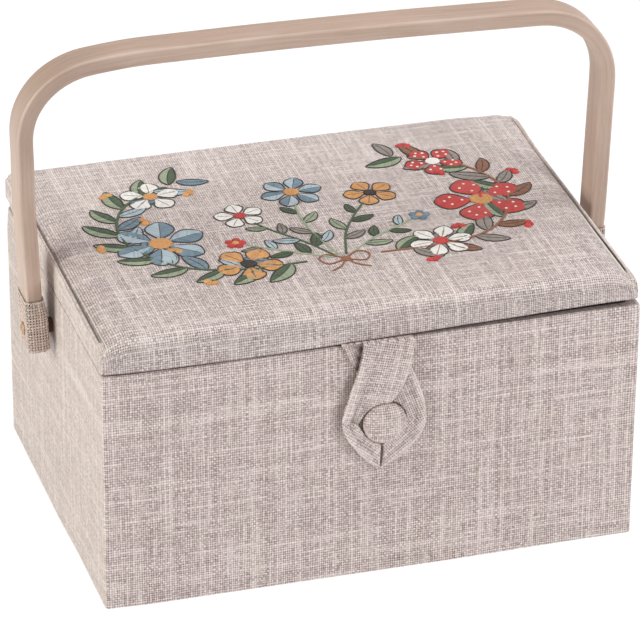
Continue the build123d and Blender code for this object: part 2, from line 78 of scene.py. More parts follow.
# ------------------------------------------------------------------ material helper
class Shade:
    def __init__(self, name):
        self.mat = bpy.data.materials.new(name)
        self.mat.use_nodes = True
        self.tree = self.mat.node_tree
        self.tree.nodes.clear()
        self.out = self.tree.nodes.new("ShaderNodeOutputMaterial")
        self.bsdf = self.tree.nodes.new("ShaderNodeBsdfPrincipled")
        self.tree.links.new(self.bsdf.outputs[0], self.out.inputs[0])

    def put(self, socket, value):
        if isinstance(value, bpy.types.NodeSocket):
            self.tree.links.new(value, socket)
        elif isinstance(value, tuple) and len(value) == 3 and socket.type == "RGBA":
            socket.default_value = (*value, 1.0)
        else:
            socket.default_value = value

    def node(self, kind, **props):
        n = self.tree.nodes.new(kind)
        for k, v in props.items():
            setattr(n, k, v)
        return n

    def math(self, op, a, b=0.0, c=0.0, clamp=False):
        n = self.node("ShaderNodeMath", operation=op, use_clamp=clamp)
        for i, x in enumerate((a, b, c)):
            self.put(n.inputs[i], x)
        return n.outputs[0]

    def add(self, a, b):
        return self.math("ADD", a, b)

    def sub(self, a, b):
        return self.math("SUBTRACT", a, b)

    def mul(self, a, b):
        return self.math("MULTIPLY", a, b)

    def mix(self, fac, a, b):
        n = self.node("ShaderNodeMix", data_type="RGBA")
        n.clamp_factor = True
        self.put(n.inputs[0], fac)
        self.put(n.inputs[6], a)
        self.put(n.inputs[7], b)
        return n.outputs[2]

    def tint(self, colour, factor):
        """colour times a number."""
        n = self.node("ShaderNodeVectorMath", operation="SCALE")
        self.put(n.inputs[0], colour)
        self.put(n.inputs[3], factor)
        return n.outputs[0]

    def mixf(self, fac, a, b):
        n = self.node("ShaderNodeMix", data_type="FLOAT")
        self.put(n.inputs[0], fac)
        self.put(n.inputs[2], a)
        self.put(n.inputs[3], b)
        return n.outputs[0]

    def vec(self, x=0.0, y=0.0, z=0.0):
        n = self.node("ShaderNodeCombineXYZ")
        for i, v in enumerate((x, y, z)):
            self.put(n.inputs[i], v)
        return n.outputs[0]

    def split(self, v):
        n = self.node("ShaderNodeSeparateXYZ")
        self.put(n.inputs[0], v)
        return n.outputs[0], n.outputs[1], n.outputs[2]

    def uv(self):
        return self.split(self.node("ShaderNodeUVMap", uv_map="weave").outputs[0])[:2]

    def place(self):
        return self.node("ShaderNodeTexCoord").outputs["Object"]

    def noise(self, vector, scale=1.0, detail=2.0, rough=0.5, distortion=0.0):
        n = self.node("ShaderNodeTexNoise", noise_dimensions="3D")
        self.put(n.inputs["Vector"], vector)
        n.inputs["Scale"].default_value = scale
        n.inputs["Detail"].default_value = detail
        n.inputs["Roughness"].default_value = rough
        n.inputs["Distortion"].default_value = distortion
        return n.outputs[0]

    def white(self, vector):
        n = self.node("ShaderNodeTexWhiteNoise", noise_dimensions="3D")
        self.put(n.inputs["Vector"], vector)
        return n.outputs["Value"]

    def remap(self, v, a, b, c, d, smooth=False):
        n = self.node("ShaderNodeMapRange", clamp=True)
        n.interpolation_type = "SMOOTHSTEP" if smooth else "LINEAR"
        for i, x in enumerate((v, a, b, c, d)):
            self.put(n.inputs[i], x)
        return n.outputs[0]

    def ramp(self, fac, stops):
        n = self.node("ShaderNodeValToRGB")
        e = n.color_ramp.elements
        while len(e) > 1:
            e.remove(e[0])
        e[0].position, e[0].color = stops[0][0], (*stops[0][1], 1.0)
        for p, c in stops[1:]:
            x = e.new(p)
            x.color = (*c, 1.0)
        self.put(n.inputs[0], fac)
        return n.outputs[0]

    def bump(self, height, strength=0.5, distance=0.3, under=None):
        n = self.node("ShaderNodeBump")
        n.inputs["Strength"].default_value = strength
        n.inputs["Distance"].default_value = distance * MM
        self.put(n.inputs["Height"], height)
        if under is not None:
            self.put(n.inputs["Normal"], under)
        return n.outputs[0]

    def finish(self, colour=None, rough=None, normal=None, **constants):
        b = self.bsdf
        if colour is not None:
            self.put(b.inputs["Base Color"], colour)
        if rough is not None:
            self.put(b.inputs["Roughness"], rough)
        if normal is not None:
            self.put(b.inputs["Normal"], normal)
        for k, v in constants.items():
            b.inputs[k.replace("_", " ")].default_value = v
        return self.mat


def scaled(colour, k):
    return tuple(min(1.0, c * k) for c in colour)


# ------------------------------------------------------------------ materials
def woven(
    name,
    pitch=1.36,
    weft=1.1,
    dark=(0.445, 0.354, 0.338),
    mid=(0.748, 0.625, 0.602),
    light=(0.92, 0.806, 0.775),
    slub=(0.98, 0.90, 0.87),
    gap=0.23,
    hole=1.0,
    slubs=0.26,
    contrast=0.56,
    float_tone=0.85,
    drift=0.6,
    bump=0.6,
    depth=0.35,
    rough=0.9,
    seed=0.0,
    sheen=0.08,
    patches=0.28,
    toned=False,
):
    """A plain weave on the UV map, which holds millimetres of cloth: every yarn has its own tone, which
    changes along it, every float of it differs a little, pale thick slubs run along some yarns, and the
    gaps between yarns are dark."""
    s = Shade(name)
    x, y = s.uv()
    sx, sy = s.mul(x, 1.0 / pitch), s.mul(y, 1.0 / (pitch * weft))
    u = s.add(sx, s.mul(s.sub(s.noise(s.vec(s.mul(x, 0.11), s.mul(y, 0.018), 3.0 + seed)), 0.5), drift * 2.4))
    v = s.add(sy, s.mul(s.sub(s.noise(s.vec(s.mul(x, 0.018), s.mul(y, 0.11), 8.0 + seed)), 0.5), drift * 2.4))
    iu, iv = s.math("FLOOR", u), s.math("FLOOR", v)
    fu, fv = s.sub(u, iu), s.sub(v, iv)
    product = s.mul(s.math("SINE", s.mul(u, PI)), s.math("SINE", s.mul(v, PI)))
    over = s.remap(product, -0.12, 0.12, 0.0, 1.0, smooth=True)

    def yarn(index, along, k, strong):
        own = s.white(s.vec(index, k, seed))
        run = s.noise(s.vec(s.mul(index, 5.37), s.mul(along, 0.04), k + seed), detail=1.0, rough=0.5)
        tone = s.mul(s.add(s.mul(s.sub(own, 0.5), 0.74), s.mul(s.sub(run, 0.5), 0.66)), strong * contrast)
        thick = s.noise(s.vec(s.mul(index, 9.13), s.mul(along, 0.028), k + 4.0 + seed), detail=1.0)
        fat = s.remap(s.add(thick, s.mul(own, 0.16)), 0.67, 0.74, 0.0, 1.0, smooth=True)
        return tone, fat

    tone_w, fat_w = yarn(iu, v, 1.3, 1.12)
    tone_f, fat_f = yarn(iv, u, 21.7, 0.84)
    edge_w = s.math("ABSOLUTE", s.sub(s.mul(fu, 2.0), 1.0))
    edge_f = s.math("ABSOLUTE", s.sub(s.mul(fv, 2.0), 1.0))
    across_w = s.sub(1.0, s.math("POWER", edge_w, 2.4))
    across_f = s.sub(1.0, s.math("POWER", edge_f, 2.4))
    top = s.mixf(over, across_f, across_w)
    cell = s.white(s.vec(iu, iv, 2.0 + seed))
    other = s.white(s.vec(s.math("FLOOR", s.add(u, 0.5)), s.math("FLOOR", s.add(v, 0.5)), 5.0 + seed))
    tone = s.add(s.mixf(over, tone_f, tone_w), 0.5)
    tone = s.add(tone, s.mul(s.sub(cell, 0.5), 0.62 * float_tone))
    fat = s.math("MAXIMUM", s.mul(fat_w, s.mixf(over, 0.55, 1.0)), s.mul(fat_f, s.mixf(over, 1.0, 0.55)))
    fibre = s.noise(s.vec(s.mul(x, 2.1), s.mul(y, 2.1), seed + 2.0), detail=3.0, rough=0.7)
    tone = s.add(tone, s.mul(s.sub(fibre, 0.5), 0.5 * contrast))
    colour = s.ramp(tone, [(0.0, dark), (0.5, mid), (1.0, light)])
    colour = s.mix(s.mul(fat, slubs), colour, slub)
    tall = s.noise(s.vec(s.mul(x, 0.10), s.mul(y, 0.028), 5.0 + seed), detail=1.0)
    wide = s.noise(s.vec(s.mul(x, 0.028), s.mul(y, 0.10), 15.0 + seed), detail=1.0)
    area = s.add(s.mul(tall, 0.6), s.mul(wide, 0.4))
    hue = s.ramp(area, [(0.36, (1.0, 0.98, 0.985)), (0.46, (1.0, 1.0, 1.0)), (0.56, (0.98, 1.0, 0.965)), (0.66, (0.97, 1.0, 0.91))])
    n = s.node("ShaderNodeMix", data_type="RGBA", blend_type="MULTIPLY")
    n.inputs[0].default_value = patches
    s.put(n.inputs[6], colour)
    s.put(n.inputs[7], hue)
    colour = n.outputs[2]
    # painted shade: each yarn darkens towards its edges, where it dips under its neighbour, and the holes between the
    # yarns are dark
    shade = s.remap(top, 0.0, 0.6, gap, 1.0)
    shade = s.mixf(s.mul(fat, 0.6), shade, 1.0)
    corner = s.remap(s.math("MINIMUM", edge_w, edge_f), 0.38, 0.80, 0.0, 1.0, smooth=True)
    open_here = s.mul(s.mul(corner, s.remap(other, 0.0, 0.75, 0.25, 1.0)), hole)
    open_here = s.mul(open_here, s.sub(1.0, s.mul(fat, 0.6)))
    shade = s.mul(shade, s.sub(1.0, open_here))
    colour = s.tint(colour, shade)
    if toned:
        # the tone attribute paints light and shade: below 0 towards a dark brown shade, above 0 towards a pale
        # highlight
        tone_at = s.node("ShaderNodeAttribute", attribute_name="tone").outputs["Fac"]
        colour = s.mix(s.remap(tone_at, -1.0, 0.0, 1.0, 0.0), colour, (0.075, 0.048, 0.036))
        colour = s.mix(s.remap(tone_at, 0.0, 1.0, 0.0, 0.42), colour, (0.93, 0.835, 0.80))
    height = s.add(s.add(s.mul(top, 0.6), s.mul(s.math("ABSOLUTE", product), 0.4)), s.mul(fat, 0.35))
    height = s.add(s.sub(height, s.mul(open_here, 0.5)), s.mul(fibre, 0.18))
    ruf = s.remap(fibre, 0.3, 0.7, rough - 0.06, min(1.0, rough + 0.05))
    return s.finish(
        colour, ruf, s.bump(height, bump, depth), Sheen_Weight=sheen, Sheen_Roughness=0.5, Specular_IOR_Level=0.2
    )


def bentwood(name):
    """Pale taupe stained bent beech: U runs along the bow, V round its section, in millimetres."""
    s = Shade(name)
    x, y = s.uv()
    bend = s.mul(s.sub(s.noise(s.vec(s.mul(x, 0.006), s.mul(y, 0.02), 1.0)), 0.5), 9.0)
    yy = s.add(y, bend)
    streak = s.noise(s.vec(s.mul(x, 0.012), s.mul(yy, 0.55), 4.0), detail=5.0, rough=0.65)
    fine = s.noise(s.vec(s.mul(x, 0.05), s.mul(yy, 3.1), 9.0), detail=4.0, rough=0.7)
    cloud = s.noise(s.vec(s.mul(x, 0.02), s.mul(y, 0.06), 13.0), detail=3.0)
    fleck = s.remap(s.noise(s.vec(s.mul(x, 0.16), s.mul(yy, 2.2), 17.0), detail=2.0), 0.63, 0.70, 0.0, 1.0)
    tone = s.add(s.add(s.mul(streak, 0.55), s.mul(fine, 0.25)), s.mul(cloud, 0.35))
    colour = s.ramp(
        tone, [(0.36, (0.385, 0.270, 0.212)), (0.56, (0.515, 0.375, 0.302)), (0.78, (0.62, 0.474, 0.392))]
    )
    colour = s.mix(s.mul(fleck, 0.35), colour, (0.33, 0.235, 0.18))
    # painted shade: the wood is a little darker round the left bend
    bend_shade = s.mul(s.remap(x, 440.0, 475.0, 0.0, 1.0, smooth=True), s.remap(x, 528.0, 562.0, 1.0, 0.0, smooth=True))
    colour = s.mix(s.mul(bend_shade, 0.22), colour, (0.20, 0.13, 0.10))
    # painted highlight along the bow's rounded edges, placed by the edge mark
    edge = s.node("ShaderNodeAttribute", attribute_name="edge").outputs["Fac"]
    bevel_highlight = s.mul(edge, s.remap(cloud, 0.35, 0.6, 0.12, 0.5))
    colour = s.mix(bevel_highlight, colour, (0.70, 0.57, 0.485))
    rough = s.remap(fine, 0.3, 0.7, 0.40, 0.56)
    height = s.add(s.mul(streak, 0.5), s.add(s.mul(fine, 0.5), s.mul(fleck, -0.4)))
    return s.finish(colour, rough, s.bump(height, 0.22, 0.12), Specular_IOR_Level=0.4, Coat_Weight=0.08, Coat_Roughness=0.35)


def greyboard(name):
    s = Shade(name)
    p = s.place()
    fibres = s.noise(p, 900.0, 5.0, 0.7)
    cloud = s.noise(p, 60.0, 3.0)
    colour = s.ramp(s.add(s.mul(fibres, 0.6), s.mul(cloud, 0.4)), [(0.3, (0.36, 0.30, 0.23)), (0.7, (0.52, 0.45, 0.36))])
    return s.finish(colour, s.remap(fibres, 0.3, 0.7, 0.8, 0.95), s.bump(fibres, 0.3, 0.1), Specular_IOR_Level=0.2)


def metal(name, base, dull, rough=0.34, scale=700.0):
    s = Shade(name)
    p = s.place()
    patina = s.noise(p, scale, 5.0, 0.65)
    cloud = s.noise(p, scale * 0.2, 2.0)
    colour = s.mix(s.remap(s.add(s.mul(patina, 0.5), s.mul(cloud, 0.5)), 0.42, 0.62, 0.0, 1.0), base, dull)
    return s.finish(
        colour, s.remap(patina, 0.3, 0.7, rough - 0.08, rough + 0.16), s.bump(patina, 0.15, 0.05), Metallic=1.0
    )


def moulded(name, colour, rough=0.35, grain=0.03, shine=0.45):
    s = Shade(name)
    p = s.place()
    speck = s.noise(p, 1400.0, 3.0, 0.6)
    cloud = s.noise(p, 30.0, 2.0)
    mixed = s.mix(s.remap(cloud, 0.35, 0.65, 0.0, 1.0), scaled(colour, 0.955), scaled(colour, 1.03))
    return s.finish(
        mixed, s.remap(speck, 0.3, 0.7, rough - 0.05, rough + 0.08), s.bump(speck, 0.12, grain), Specular_IOR_Level=shine
    )


def thread(name, colour, spread=0.16):
    """Stranded embroidery thread: U along each stitch, V across, with a soft twist and its own shine."""
    s = Shade(name)
    x, y = s.uv()
    own = s.white(s.vec(s.math("FLOOR", s.mul(y, 0.1)), 3.0, 1.0))
    # painted light and shade along the twist of the strands, in step with the twist's bump
    twist = s.math("SINE", s.add(s.mul(x, 4.2), s.mul(y, 2.4)))
    run = s.noise(s.vec(s.mul(x, 0.5), s.mul(y, 0.9), 2.0), detail=3.0)
    tone = s.add(s.mul(s.sub(own, 0.5), 2 * spread), s.add(s.mul(twist, spread * 0.45), s.mul(s.sub(run, 0.5), spread * 1.6)))
    col = s.tint(s.mix(0.0, colour, colour), s.add(1.0, tone))
    return s.finish(
        col, s.remap(run, 0.3, 0.7, 0.5, 0.68), s.bump(twist, 0.35, 0.12), Sheen_Weight=0.15, Specular_IOR_Level=0.4
    )


LINEN = woven("linen", toned=True)
# the lid's cloth: a darker copy of the same linen, painted shade over the whole lid
LINEN_LID_SHADED = woven(
    "linen_lid_shaded",
    pitch=1.36,
    dark=(0.408, 0.334, 0.323),
    mid=(0.695, 0.592, 0.575),
    light=(0.872, 0.774, 0.751),
    seed=31.0,
    toned=True,
    drift=0.3,
)
# the ends' cloth: a copy of the linen with flatter contrast, painted to look washed out in the strong light on the end
# faces
LINEN_ENDS_LIT = woven("linen_ends_lit", toned=True, dark=(0.50, 0.418, 0.382), mid=(0.668, 0.572, 0.532), light=(0.79, 0.702, 0.660), hole=0.72, gap=0.52,
                  slubs=0.18, contrast=0.5, float_tone=0.85, bump=0.4, seed=0.0, patches=0.35)
LINEN_SMALL = woven("linen_small", seed=57.0, drift=0.4)
LINEN_STRAP = woven("linen_strap", toned=True, seed=83.0, pitch=1.34, drift=0.4)
# a near-black copy of the burlap for the cuffs' under-layer: painted shade in the gaps between the yarns
BURLAP_SHADE = woven(
    "burlap_shade",
    pitch=1.85,
    dark=(0.07, 0.045, 0.035),
    mid=(0.12, 0.085, 0.065),
    light=(0.20, 0.15, 0.12),
    slub=(0.25, 0.2, 0.17),
    gap=0.5,
    drift=0.1,
    seed=3.0,
)
LINING = woven(
    "lining",
    pitch=0.62,
    dark=(0.66, 0.60, 0.52),
    mid=(0.80, 0.75, 0.67),
    light=(0.87, 0.83, 0.76),
    slub=(0.90, 0.87, 0.82),
    gap=0.75,
    hole=0.35,
    slubs=0.3,
    contrast=0.4,
    float_tone=0.4,
    drift=0.3,
    bump=0.25,
    depth=0.12,
    rough=0.72,
    seed=12.0,
)
POCKET = woven(
    "pocket_cotton",
    pitch=0.62,
    dark=(0.50, 0.43, 0.36),
    mid=(0.655, 0.58, 0.50),
    light=(0.75, 0.68, 0.60),
    slub=(0.80, 0.75, 0.68),
    gap=0.7,
    hole=0.3,
    slubs=0.2,
    contrast=0.4,
    float_tone=0.5,
    drift=0.4,
    bump=0.35,
    depth=0.12,
    seed=53.0,
    patches=0.3,
)
CUSHION = woven(
    "cushion_cloth",
    pitch=0.75,
    dark=(0.10, 0.16, 0.20),
    mid=(0.17, 0.26, 0.32),
    light=(0.27, 0.37, 0.43),
    slub=(0.40, 0.48, 0.52),
    gap=0.6,
    hole=0.5,
    slubs=0.4,
    contrast=0.6,
    drift=0.3,
    bump=0.35,
    depth=0.18,
    rough=0.8,
    seed=19.0,
    patches=0.3,
)
ELASTIC = woven(
    "elastic",
    pitch=0.9,
    dark=(0.70, 0.67, 0.60),
    mid=(0.84, 0.81, 0.74),
    light=(0.90, 0.88, 0.82),
    slub=(0.92, 0.9, 0.85),
    gap=0.7,
    hole=0.4,
    slubs=0.2,
    contrast=0.35,
    drift=0.1,
    bump=0.5,
    depth=0.25,
    rough=0.65,
    seed=23.0,
    patches=0.2,
)
BASE_CLOTH = woven(
    "base_cloth",
    pitch=1.0,
    dark=(0.22, 0.18, 0.16),
    mid=(0.36, 0.31, 0.28),
    light=(0.46, 0.40, 0.37),
    slub=(0.5, 0.45, 0.42),
    gap=0.6,
    hole=0.5,
    slubs=0.3,
    contrast=0.5,
    seed=71.0,
)
WOOD = bentwood("bentwood")
BOARD = greyboard("greyboard")
BRASS = metal("antique_brass", (0.70, 0.49, 0.33), (0.40, 0.25, 0.15), 0.42)
STEEL = metal("steel", (0.62, 0.62, 0.61), (0.45, 0.45, 0.45), 0.3)
SPACER = moulded("spacer_plastic", (0.125, 0.072, 0.048), 0.7, shine=0.12)
TRAY = moulded("tray_plastic", (0.80, 0.775, 0.72), 0.3)


# ------------------------------------------------------------------ mesh helper
class Build:
    """Vertices in millimetres, faces, a UV for each face corner in millimetres of material, a slot for each face."""

    def __init__(self):
        self.v, self.f, self.uv, self.m, self.t = [], [], [], [], []

    def patch(self, P, UV, close=False, flip=False, mat=0, T=None):
        """T, when given, is a tone for each place: below 0 painted shade, as in a crease, above 0 painted highlight, as
        on a rolled fold.
        """
        P, UV = np.asarray(P, float), np.asarray(UV, float)
        rows, cols = UV.shape[:2]
        n = cols - 1 if close else cols
        base = len(self.v)
        self.v.extend(P[:, :n].reshape(-1, 3).tolist())
        for r in range(rows - 1):
            for c in range(cols - 1):
                d = (c + 1) % n if close else c + 1
                q = [base + r * n + c, base + r * n + d, base + (r + 1) * n + d, base + (r + 1) * n + c]
                t = [UV[r, c], UV[r, c + 1], UV[r + 1, c + 1], UV[r + 1, c]]
                w = [0.0] * 4 if T is None else [T[r, c], T[r, c + 1], T[r + 1, c + 1], T[r + 1, c]]
                if flip:
                    q.reverse()
                    t.reverse()
                    w.reverse()
                self.f.append(q)
                self.uv.extend(t)
                self.t.extend(w)
                self.m.append(mat)
        return base

    def tube(self, rings, UV, mat=0, caps=True):
        """rings: n x k x 3 closed sections; UV: n x (k + 1) x 2."""
        rings = np.asarray(rings, float)
        n, k = rings.shape[:2]
        base = self.patch(rings, UV, close=True, mat=mat)
        if caps:
            for row, back in ((0, True), (n - 1, False)):
                ids = [base + row * k + i for i in range(k)]
                uvs = [UV[row][i] for i in range(k)]
                if back:
                    ids.reverse()
                    uvs.reverse()
                self.f.append(ids)
                self.uv.extend(uvs)
                self.t.extend([0.0] * k)
                self.m.append(mat)
        return base

    def make(self, name, body=None, mats=(), slot=None, smooth=True, weld=None, normals=True):
        me = bpy.data.meshes.new(name)
        me.from_pydata((np.array(self.v) * MM).tolist(), [], self.f)
        layer = me.uv_layers.new(name="weave")
        layer.data.foreach_set("uv", np.array(self.uv, np.float32).ravel())
        # the tone attribute carries painted shade and painted highlight
        if any(self.t):
            tone = me.attributes.new("tone", "FLOAT", "CORNER")
            tone.data.foreach_set("value", np.array(self.t, np.float32))
        for m in mats:
            me.materials.append(m)
        if self.m:
            me.polygons.foreach_set("material_index", np.array(self.m, np.int32))
        if weld or normals:
            bm = bmesh.new()
            bm.from_mesh(me)
            if weld:
                bmesh.ops.remove_doubles(bm, verts=bm.verts, dist=weld * MM)
            if normals:
                bmesh.ops.recalc_face_normals(bm, faces=bm.faces)
            bm.to_mesh(me)
            bm.free()
        if smooth:
            me.polygons.foreach_set("use_smooth", [True] * len(me.polygons))
        me.update()
        ob = bpy.data.objects.new(name, me)
        bpy.context.scene.collection.objects.link(ob)
        if body:
            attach(ob, body)
        return ob


def waves(seed, count, short, long):
    """A smooth random field over space, between about -1 and 1, the same each run."""
    r = np.random.RandomState(seed)
    d = r.normal(size=(count, 3))
    d /= np.linalg.norm(d, axis=1)[:, None]
    k = 2 * PI / r.uniform(short, long, count)
    ph = r.uniform(0, 2 * PI, count)
    a = r.uniform(0.5, 1.0, count)
    a /= a.sum() * 0.6

    def f(P):
        P = np.asarray(P, float)
        out = np.zeros(P.shape[:-1])
        for i in range(count):
            out += a[i] * np.sin(P @ d[i] * k[i] + ph[i])
        return out

    return f


def smooth01(t):
    t = np.clip(t, 0, 1)
    return t * t * (3 - 2 * t)


def solidify(ob, thickness, offset=-1.0):
    m = ob.modifiers.new("cloth", "SOLIDIFY")
    m.thickness, m.offset, m.use_even_offset = thickness * MM, offset, False
    apply_modifiers(ob)


def apply_modifiers(ob):
    dg = bpy.context.evaluated_depsgraph_get()
    dg.update()
    me = bpy.data.meshes.new_from_object(ob.evaluated_get(dg), preserve_all_data_layers=True, depsgraph=dg)
    old = ob.data
    ob.modifiers.clear()
    ob.data = me
    me.name = ob.name
    bpy.data.meshes.remove(old)


def spline(points, n, closed=False):
    """Catmull-Rom through the points, n samples evenly spaced in the parameter."""
    p = np.asarray(points, float)
    m = len(p)
    if closed:
        t = np.linspace(0, m, n, endpoint=False)
        ext = lambda i: p[np.mod(i, m)]
    else:
        t = np.linspace(0, m - 1, n)
        ext = lambda i: np.where(
            (i < 0)[:, None],
            2 * p[0] - p[1],
            np.where((i > m - 1)[:, None], 2 * p[-1] - p[-2], p[np.clip(i, 0, m - 1)]),
        )
    i = np.floor(t).astype(int)
    if not closed:
        i = np.minimum(i, m - 2)
    f = (t - i)[:, None]
    a, b, c, d = ext(i - 1), ext(i), ext(i + 1), ext(i + 2)
    return 0.5 * (2 * b + (c - a) * f + (2 * a - 5 * b + 4 * c - d) * f**2 + (3 * b - a - 3 * c + d) * f**3)


def even(points, n):
    """n points evenly spaced by length along a polyline."""
    p = np.asarray(points, float)
    s = np.concatenate([[0], np.cumsum(np.linalg.norm(np.diff(p, axis=0), axis=1))])
    t = np.linspace(0, s[-1], n)
    return np.stack([np.interp(t, s, p[:, k]) for k in range(p.shape[1])], 1)


class Outline:
    """A rounded rectangle seen from above, sampled the same way at any inset; it starts at the middle of the back."""

    def __init__(self, hx, hy, r, step=5.0, corner=7):
        self.hx, self.hy, self.r = hx, hy, r
        nx, ny = max(2, round(2 * (hx - r) / step / 2) * 2), max(2, round(2 * (hy - r) / step))
        sides = [((-1, 0), nx // 2, 0.0, 1.0, "back"), None, ((0, -1), ny, -1.0, 1.0, "left"), None,
                 ((1, 0), nx, -1.0, 1.0, "front"), None, ((0, 1), ny, -1.0, 1.0, "right"), None,
                 ((-1, 0), nx // 2, -1.0, 0.0, "back")]
        self.items = []
        quarter = {1: 90, 3: 180, 5: 270, 7: 0}
        for k, side in enumerate(sides):
            if side is None:
                for j in range(corner):
                    self.items.append(("corner", math.radians(quarter[k] + 90 * j / corner)))
            else:
                direction, n, t0, t1, name = side
                for j in range(n):
                    self.items.append((name, t0 + (t1 - t0) * j / n))
        self.n = len(self.items)
        p = self.at(0.0)
        q = np.vstack([p, p[:1]])
        self.s = np.concatenate([[0], np.cumsum(np.linalg.norm(np.diff(q, axis=0), axis=1))])

    def at(self, inset):
        r = max(self.r - inset, 0.25)
        ax, ay = self.hx - inset - r, self.hy - inset - r
        out = []
        for kind, t in self.items:
            if kind == "corner":
                c, s = math.cos(t), math.sin(t)
                cx = ax if (math.cos(t + 1e-6) > 0) else -ax
                cy = ay if (math.sin(t + 1e-6) > 0) else -ay
                out.append((cx + r * c, cy + r * s))
            elif kind == "back":
                out.append((-t * ax, ay + r))
            elif kind == "left":
                out.append((-ax - r, -t * ay))
            elif kind == "front":
                out.append((t * ax, -ay - r))
            else:
                out.append((ax + r, t * ay))
        return np.array(out)

    def normals(self):
        a, b = self.at(0.0), self.at(0.2)
        n = a - b
        return n / np.linalg.norm(n, axis=1)[:, None]


def profile_length(profile):
    p = np.asarray(profile, float)
    return np.concatenate([[0], np.cumsum(np.linalg.norm(np.diff(p, axis=0), axis=1))])


# ------------------------------------------------------------------ the case's outer linen
HX, HY = 160.0, 115.0
box = Outline(HX, HY, 2.3, step=5.0, corner=7)


def table(x, xs_, ys_):
    return np.interp(x, xs_, ys_)


def rim_line(x):
    """How far the rim's cloth stands above or below its mean height along the front."""
    return table(x, [-160, -143, -103, -73, -17, 34, 76, 112, 160], [0.0, -0.5, -0.72, -0.72, -0.4, 0.0, 0.3, 0.5, 0.6])


def case_swell(P):
    """The cloth's stand-off from a true box: its sides bow out a little and its right end leans out to the rim."""
    x, y, z = P[..., 0], P[..., 1], P[..., 2]
    low = smooth01((150.5 - z) / 14.0)
    left = smooth01((-x - 151) / 8.0) * (0.1 + 0.95 * smooth01((y + 62) / 70.0)) * (0.35 + 0.65 * low)
    right = smooth01((x - 151) / 8.0) * (0.35 + smooth01((-y - 20) / 70.0) * 1.2 * smooth01(z / 125.0))
    near = smooth01((x + 158) / 25.0) * (1 - smooth01((x - 40) / 90.0))
    mid_loop = np.exp(-(((x - 5) / 38.0) ** 4)) * smooth01((z - 52) / 12.0)
    front = smooth01((-y - 108) / 6.0) * near * (1 - 0.9 * mid_loop) * 1.25 * (0.15 + 0.85 * low)
    out_ = np.zeros_like(P)
    out_[..., 0] = right - left
    out_[..., 1] = -front
    return out_


# (inset, height), from the foot up the outside, over the rim, down the turn-in, back inside the cloth and under the base
outside = [(0.75, 0.02), (0.3, 0.14), (0.06, 0.5), (0.0, 1.2)]
outside += [(0.0, z) for z in np.linspace(4, 147.5, 30)]
rim = [(0.0, 149.7), (0.08, 150.35), (0.3, 150.78), (0.7, 150.98), (1.2, 151.05), (3.4, 151.1), (5.0, 151.0),
       (5.9, 150.75), (6.45, 150.2), (6.62, 149.4)]
turned = [(6.6, z) for z in (146.0, 142.0, 138.4)] + [(6.45, 137.3), (6.2, 137.05), (5.95, 137.3)]
inside = [(5.86, 138.4), (5.86, 146.0), (5.86, 149.6), (5.3, 150.25), (3.4, 150.35), (1.6, 150.3), (0.82, 149.9), (0.72, 149.0)]
inside += [(0.72, z) for z in np.linspace(140, 6, 12)] + [(0.74, 1.1), (1.2, 0.78), (3.0, 0.74), (13.0, 0.74), (13.2, 0.58), (13.0, 0.42), (3.0, 0.40), (1.4, 0.28)]
wall = outside + rim + turned + inside
wall_v = profile_length(wall + wall[:1])
slack = waves(11, 9, 55, 190)
fine_slack = waves(12, 9, 9, 26)
N = box.normals()
rings, uvs, tones = [], [], []
for k, (inset, z) in enumerate(wall + wall[:1]):
    j = k % len(wall)
    # painted shade on the rim's top along the front, where the lid's hem shades the gap
    gap_shade = -0.45 * float(smooth01((inset - 0.45) / 0.6)) if len(outside) <= j < len(outside) + len(rim) else 0.0
    tones.append(np.append(gap_shade * smooth01((-box.at(inset)[:, 1] - 96) / 10.0), gap_shade * float(smooth01((-box.at(inset)[0, 1] - 96) / 10.0)))[: len(box.s)])
    p = box.at(inset)
    P = np.column_stack([p, np.full(len(p), z)])
    if 3 < j < len(outside):
        rise_ = smooth01(z / 12.0) * (1 - 0.5 * smooth01((z - 120) / 30.0))
        P[:, :2] += N * (0.30 * rise_ * slack(P) + 0.05 * smooth01(z / 12.0) * fine_slack(P))[:, None]
    if 5 < z or j < len(outside):
        P += case_swell(P) * (1.0 if j < len(outside) + 4 else 0.35)
    if z > 140:
        P[:, 2] += smooth01((z - 140) / 9.0) * (0.13 * slack(P * [1.6, 1.6, 0.2] + 40) + rim_line(P[:, 0]) * (P[:, 1] < 0) * smooth01(-P[:, 1] / 90.0))
    rings.append(P)
    uvs.append(np.column_stack([box.s, np.full(len(box.s), wall_v[k])]))
b = Build()
b.patch(np.array(rings), np.array(uvs), close=True, T=np.array(tones))
# the two end faces have the same cloth as a lit copy with flatter contrast: painted light
ends_ = np.abs(box.normals()[:, 0]) > 0.72
n_ = box.n
b.m = [1 if ends_[i % n_] and ends_[(i + 1) % n_] else 0 for i in range(len(b.f))]
case_linen = b.make("case_linen", "case", [LINEN, LINEN_ENDS_LIT], "linen", weld=0.002)
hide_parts("outer_cover")


# ------------------------------------------------------------------ the lid's linen: padded cover and end bands
SEAM = 157.2
LID_RC = 2.8


def seam_at(x, y):
    """How far from the middle the seam runs: a little further in along the near half of the right side."""
    return SEAM - np.where(x > 0, 1.7 * smooth01((50.0 - y) / 130.0), 0.0)


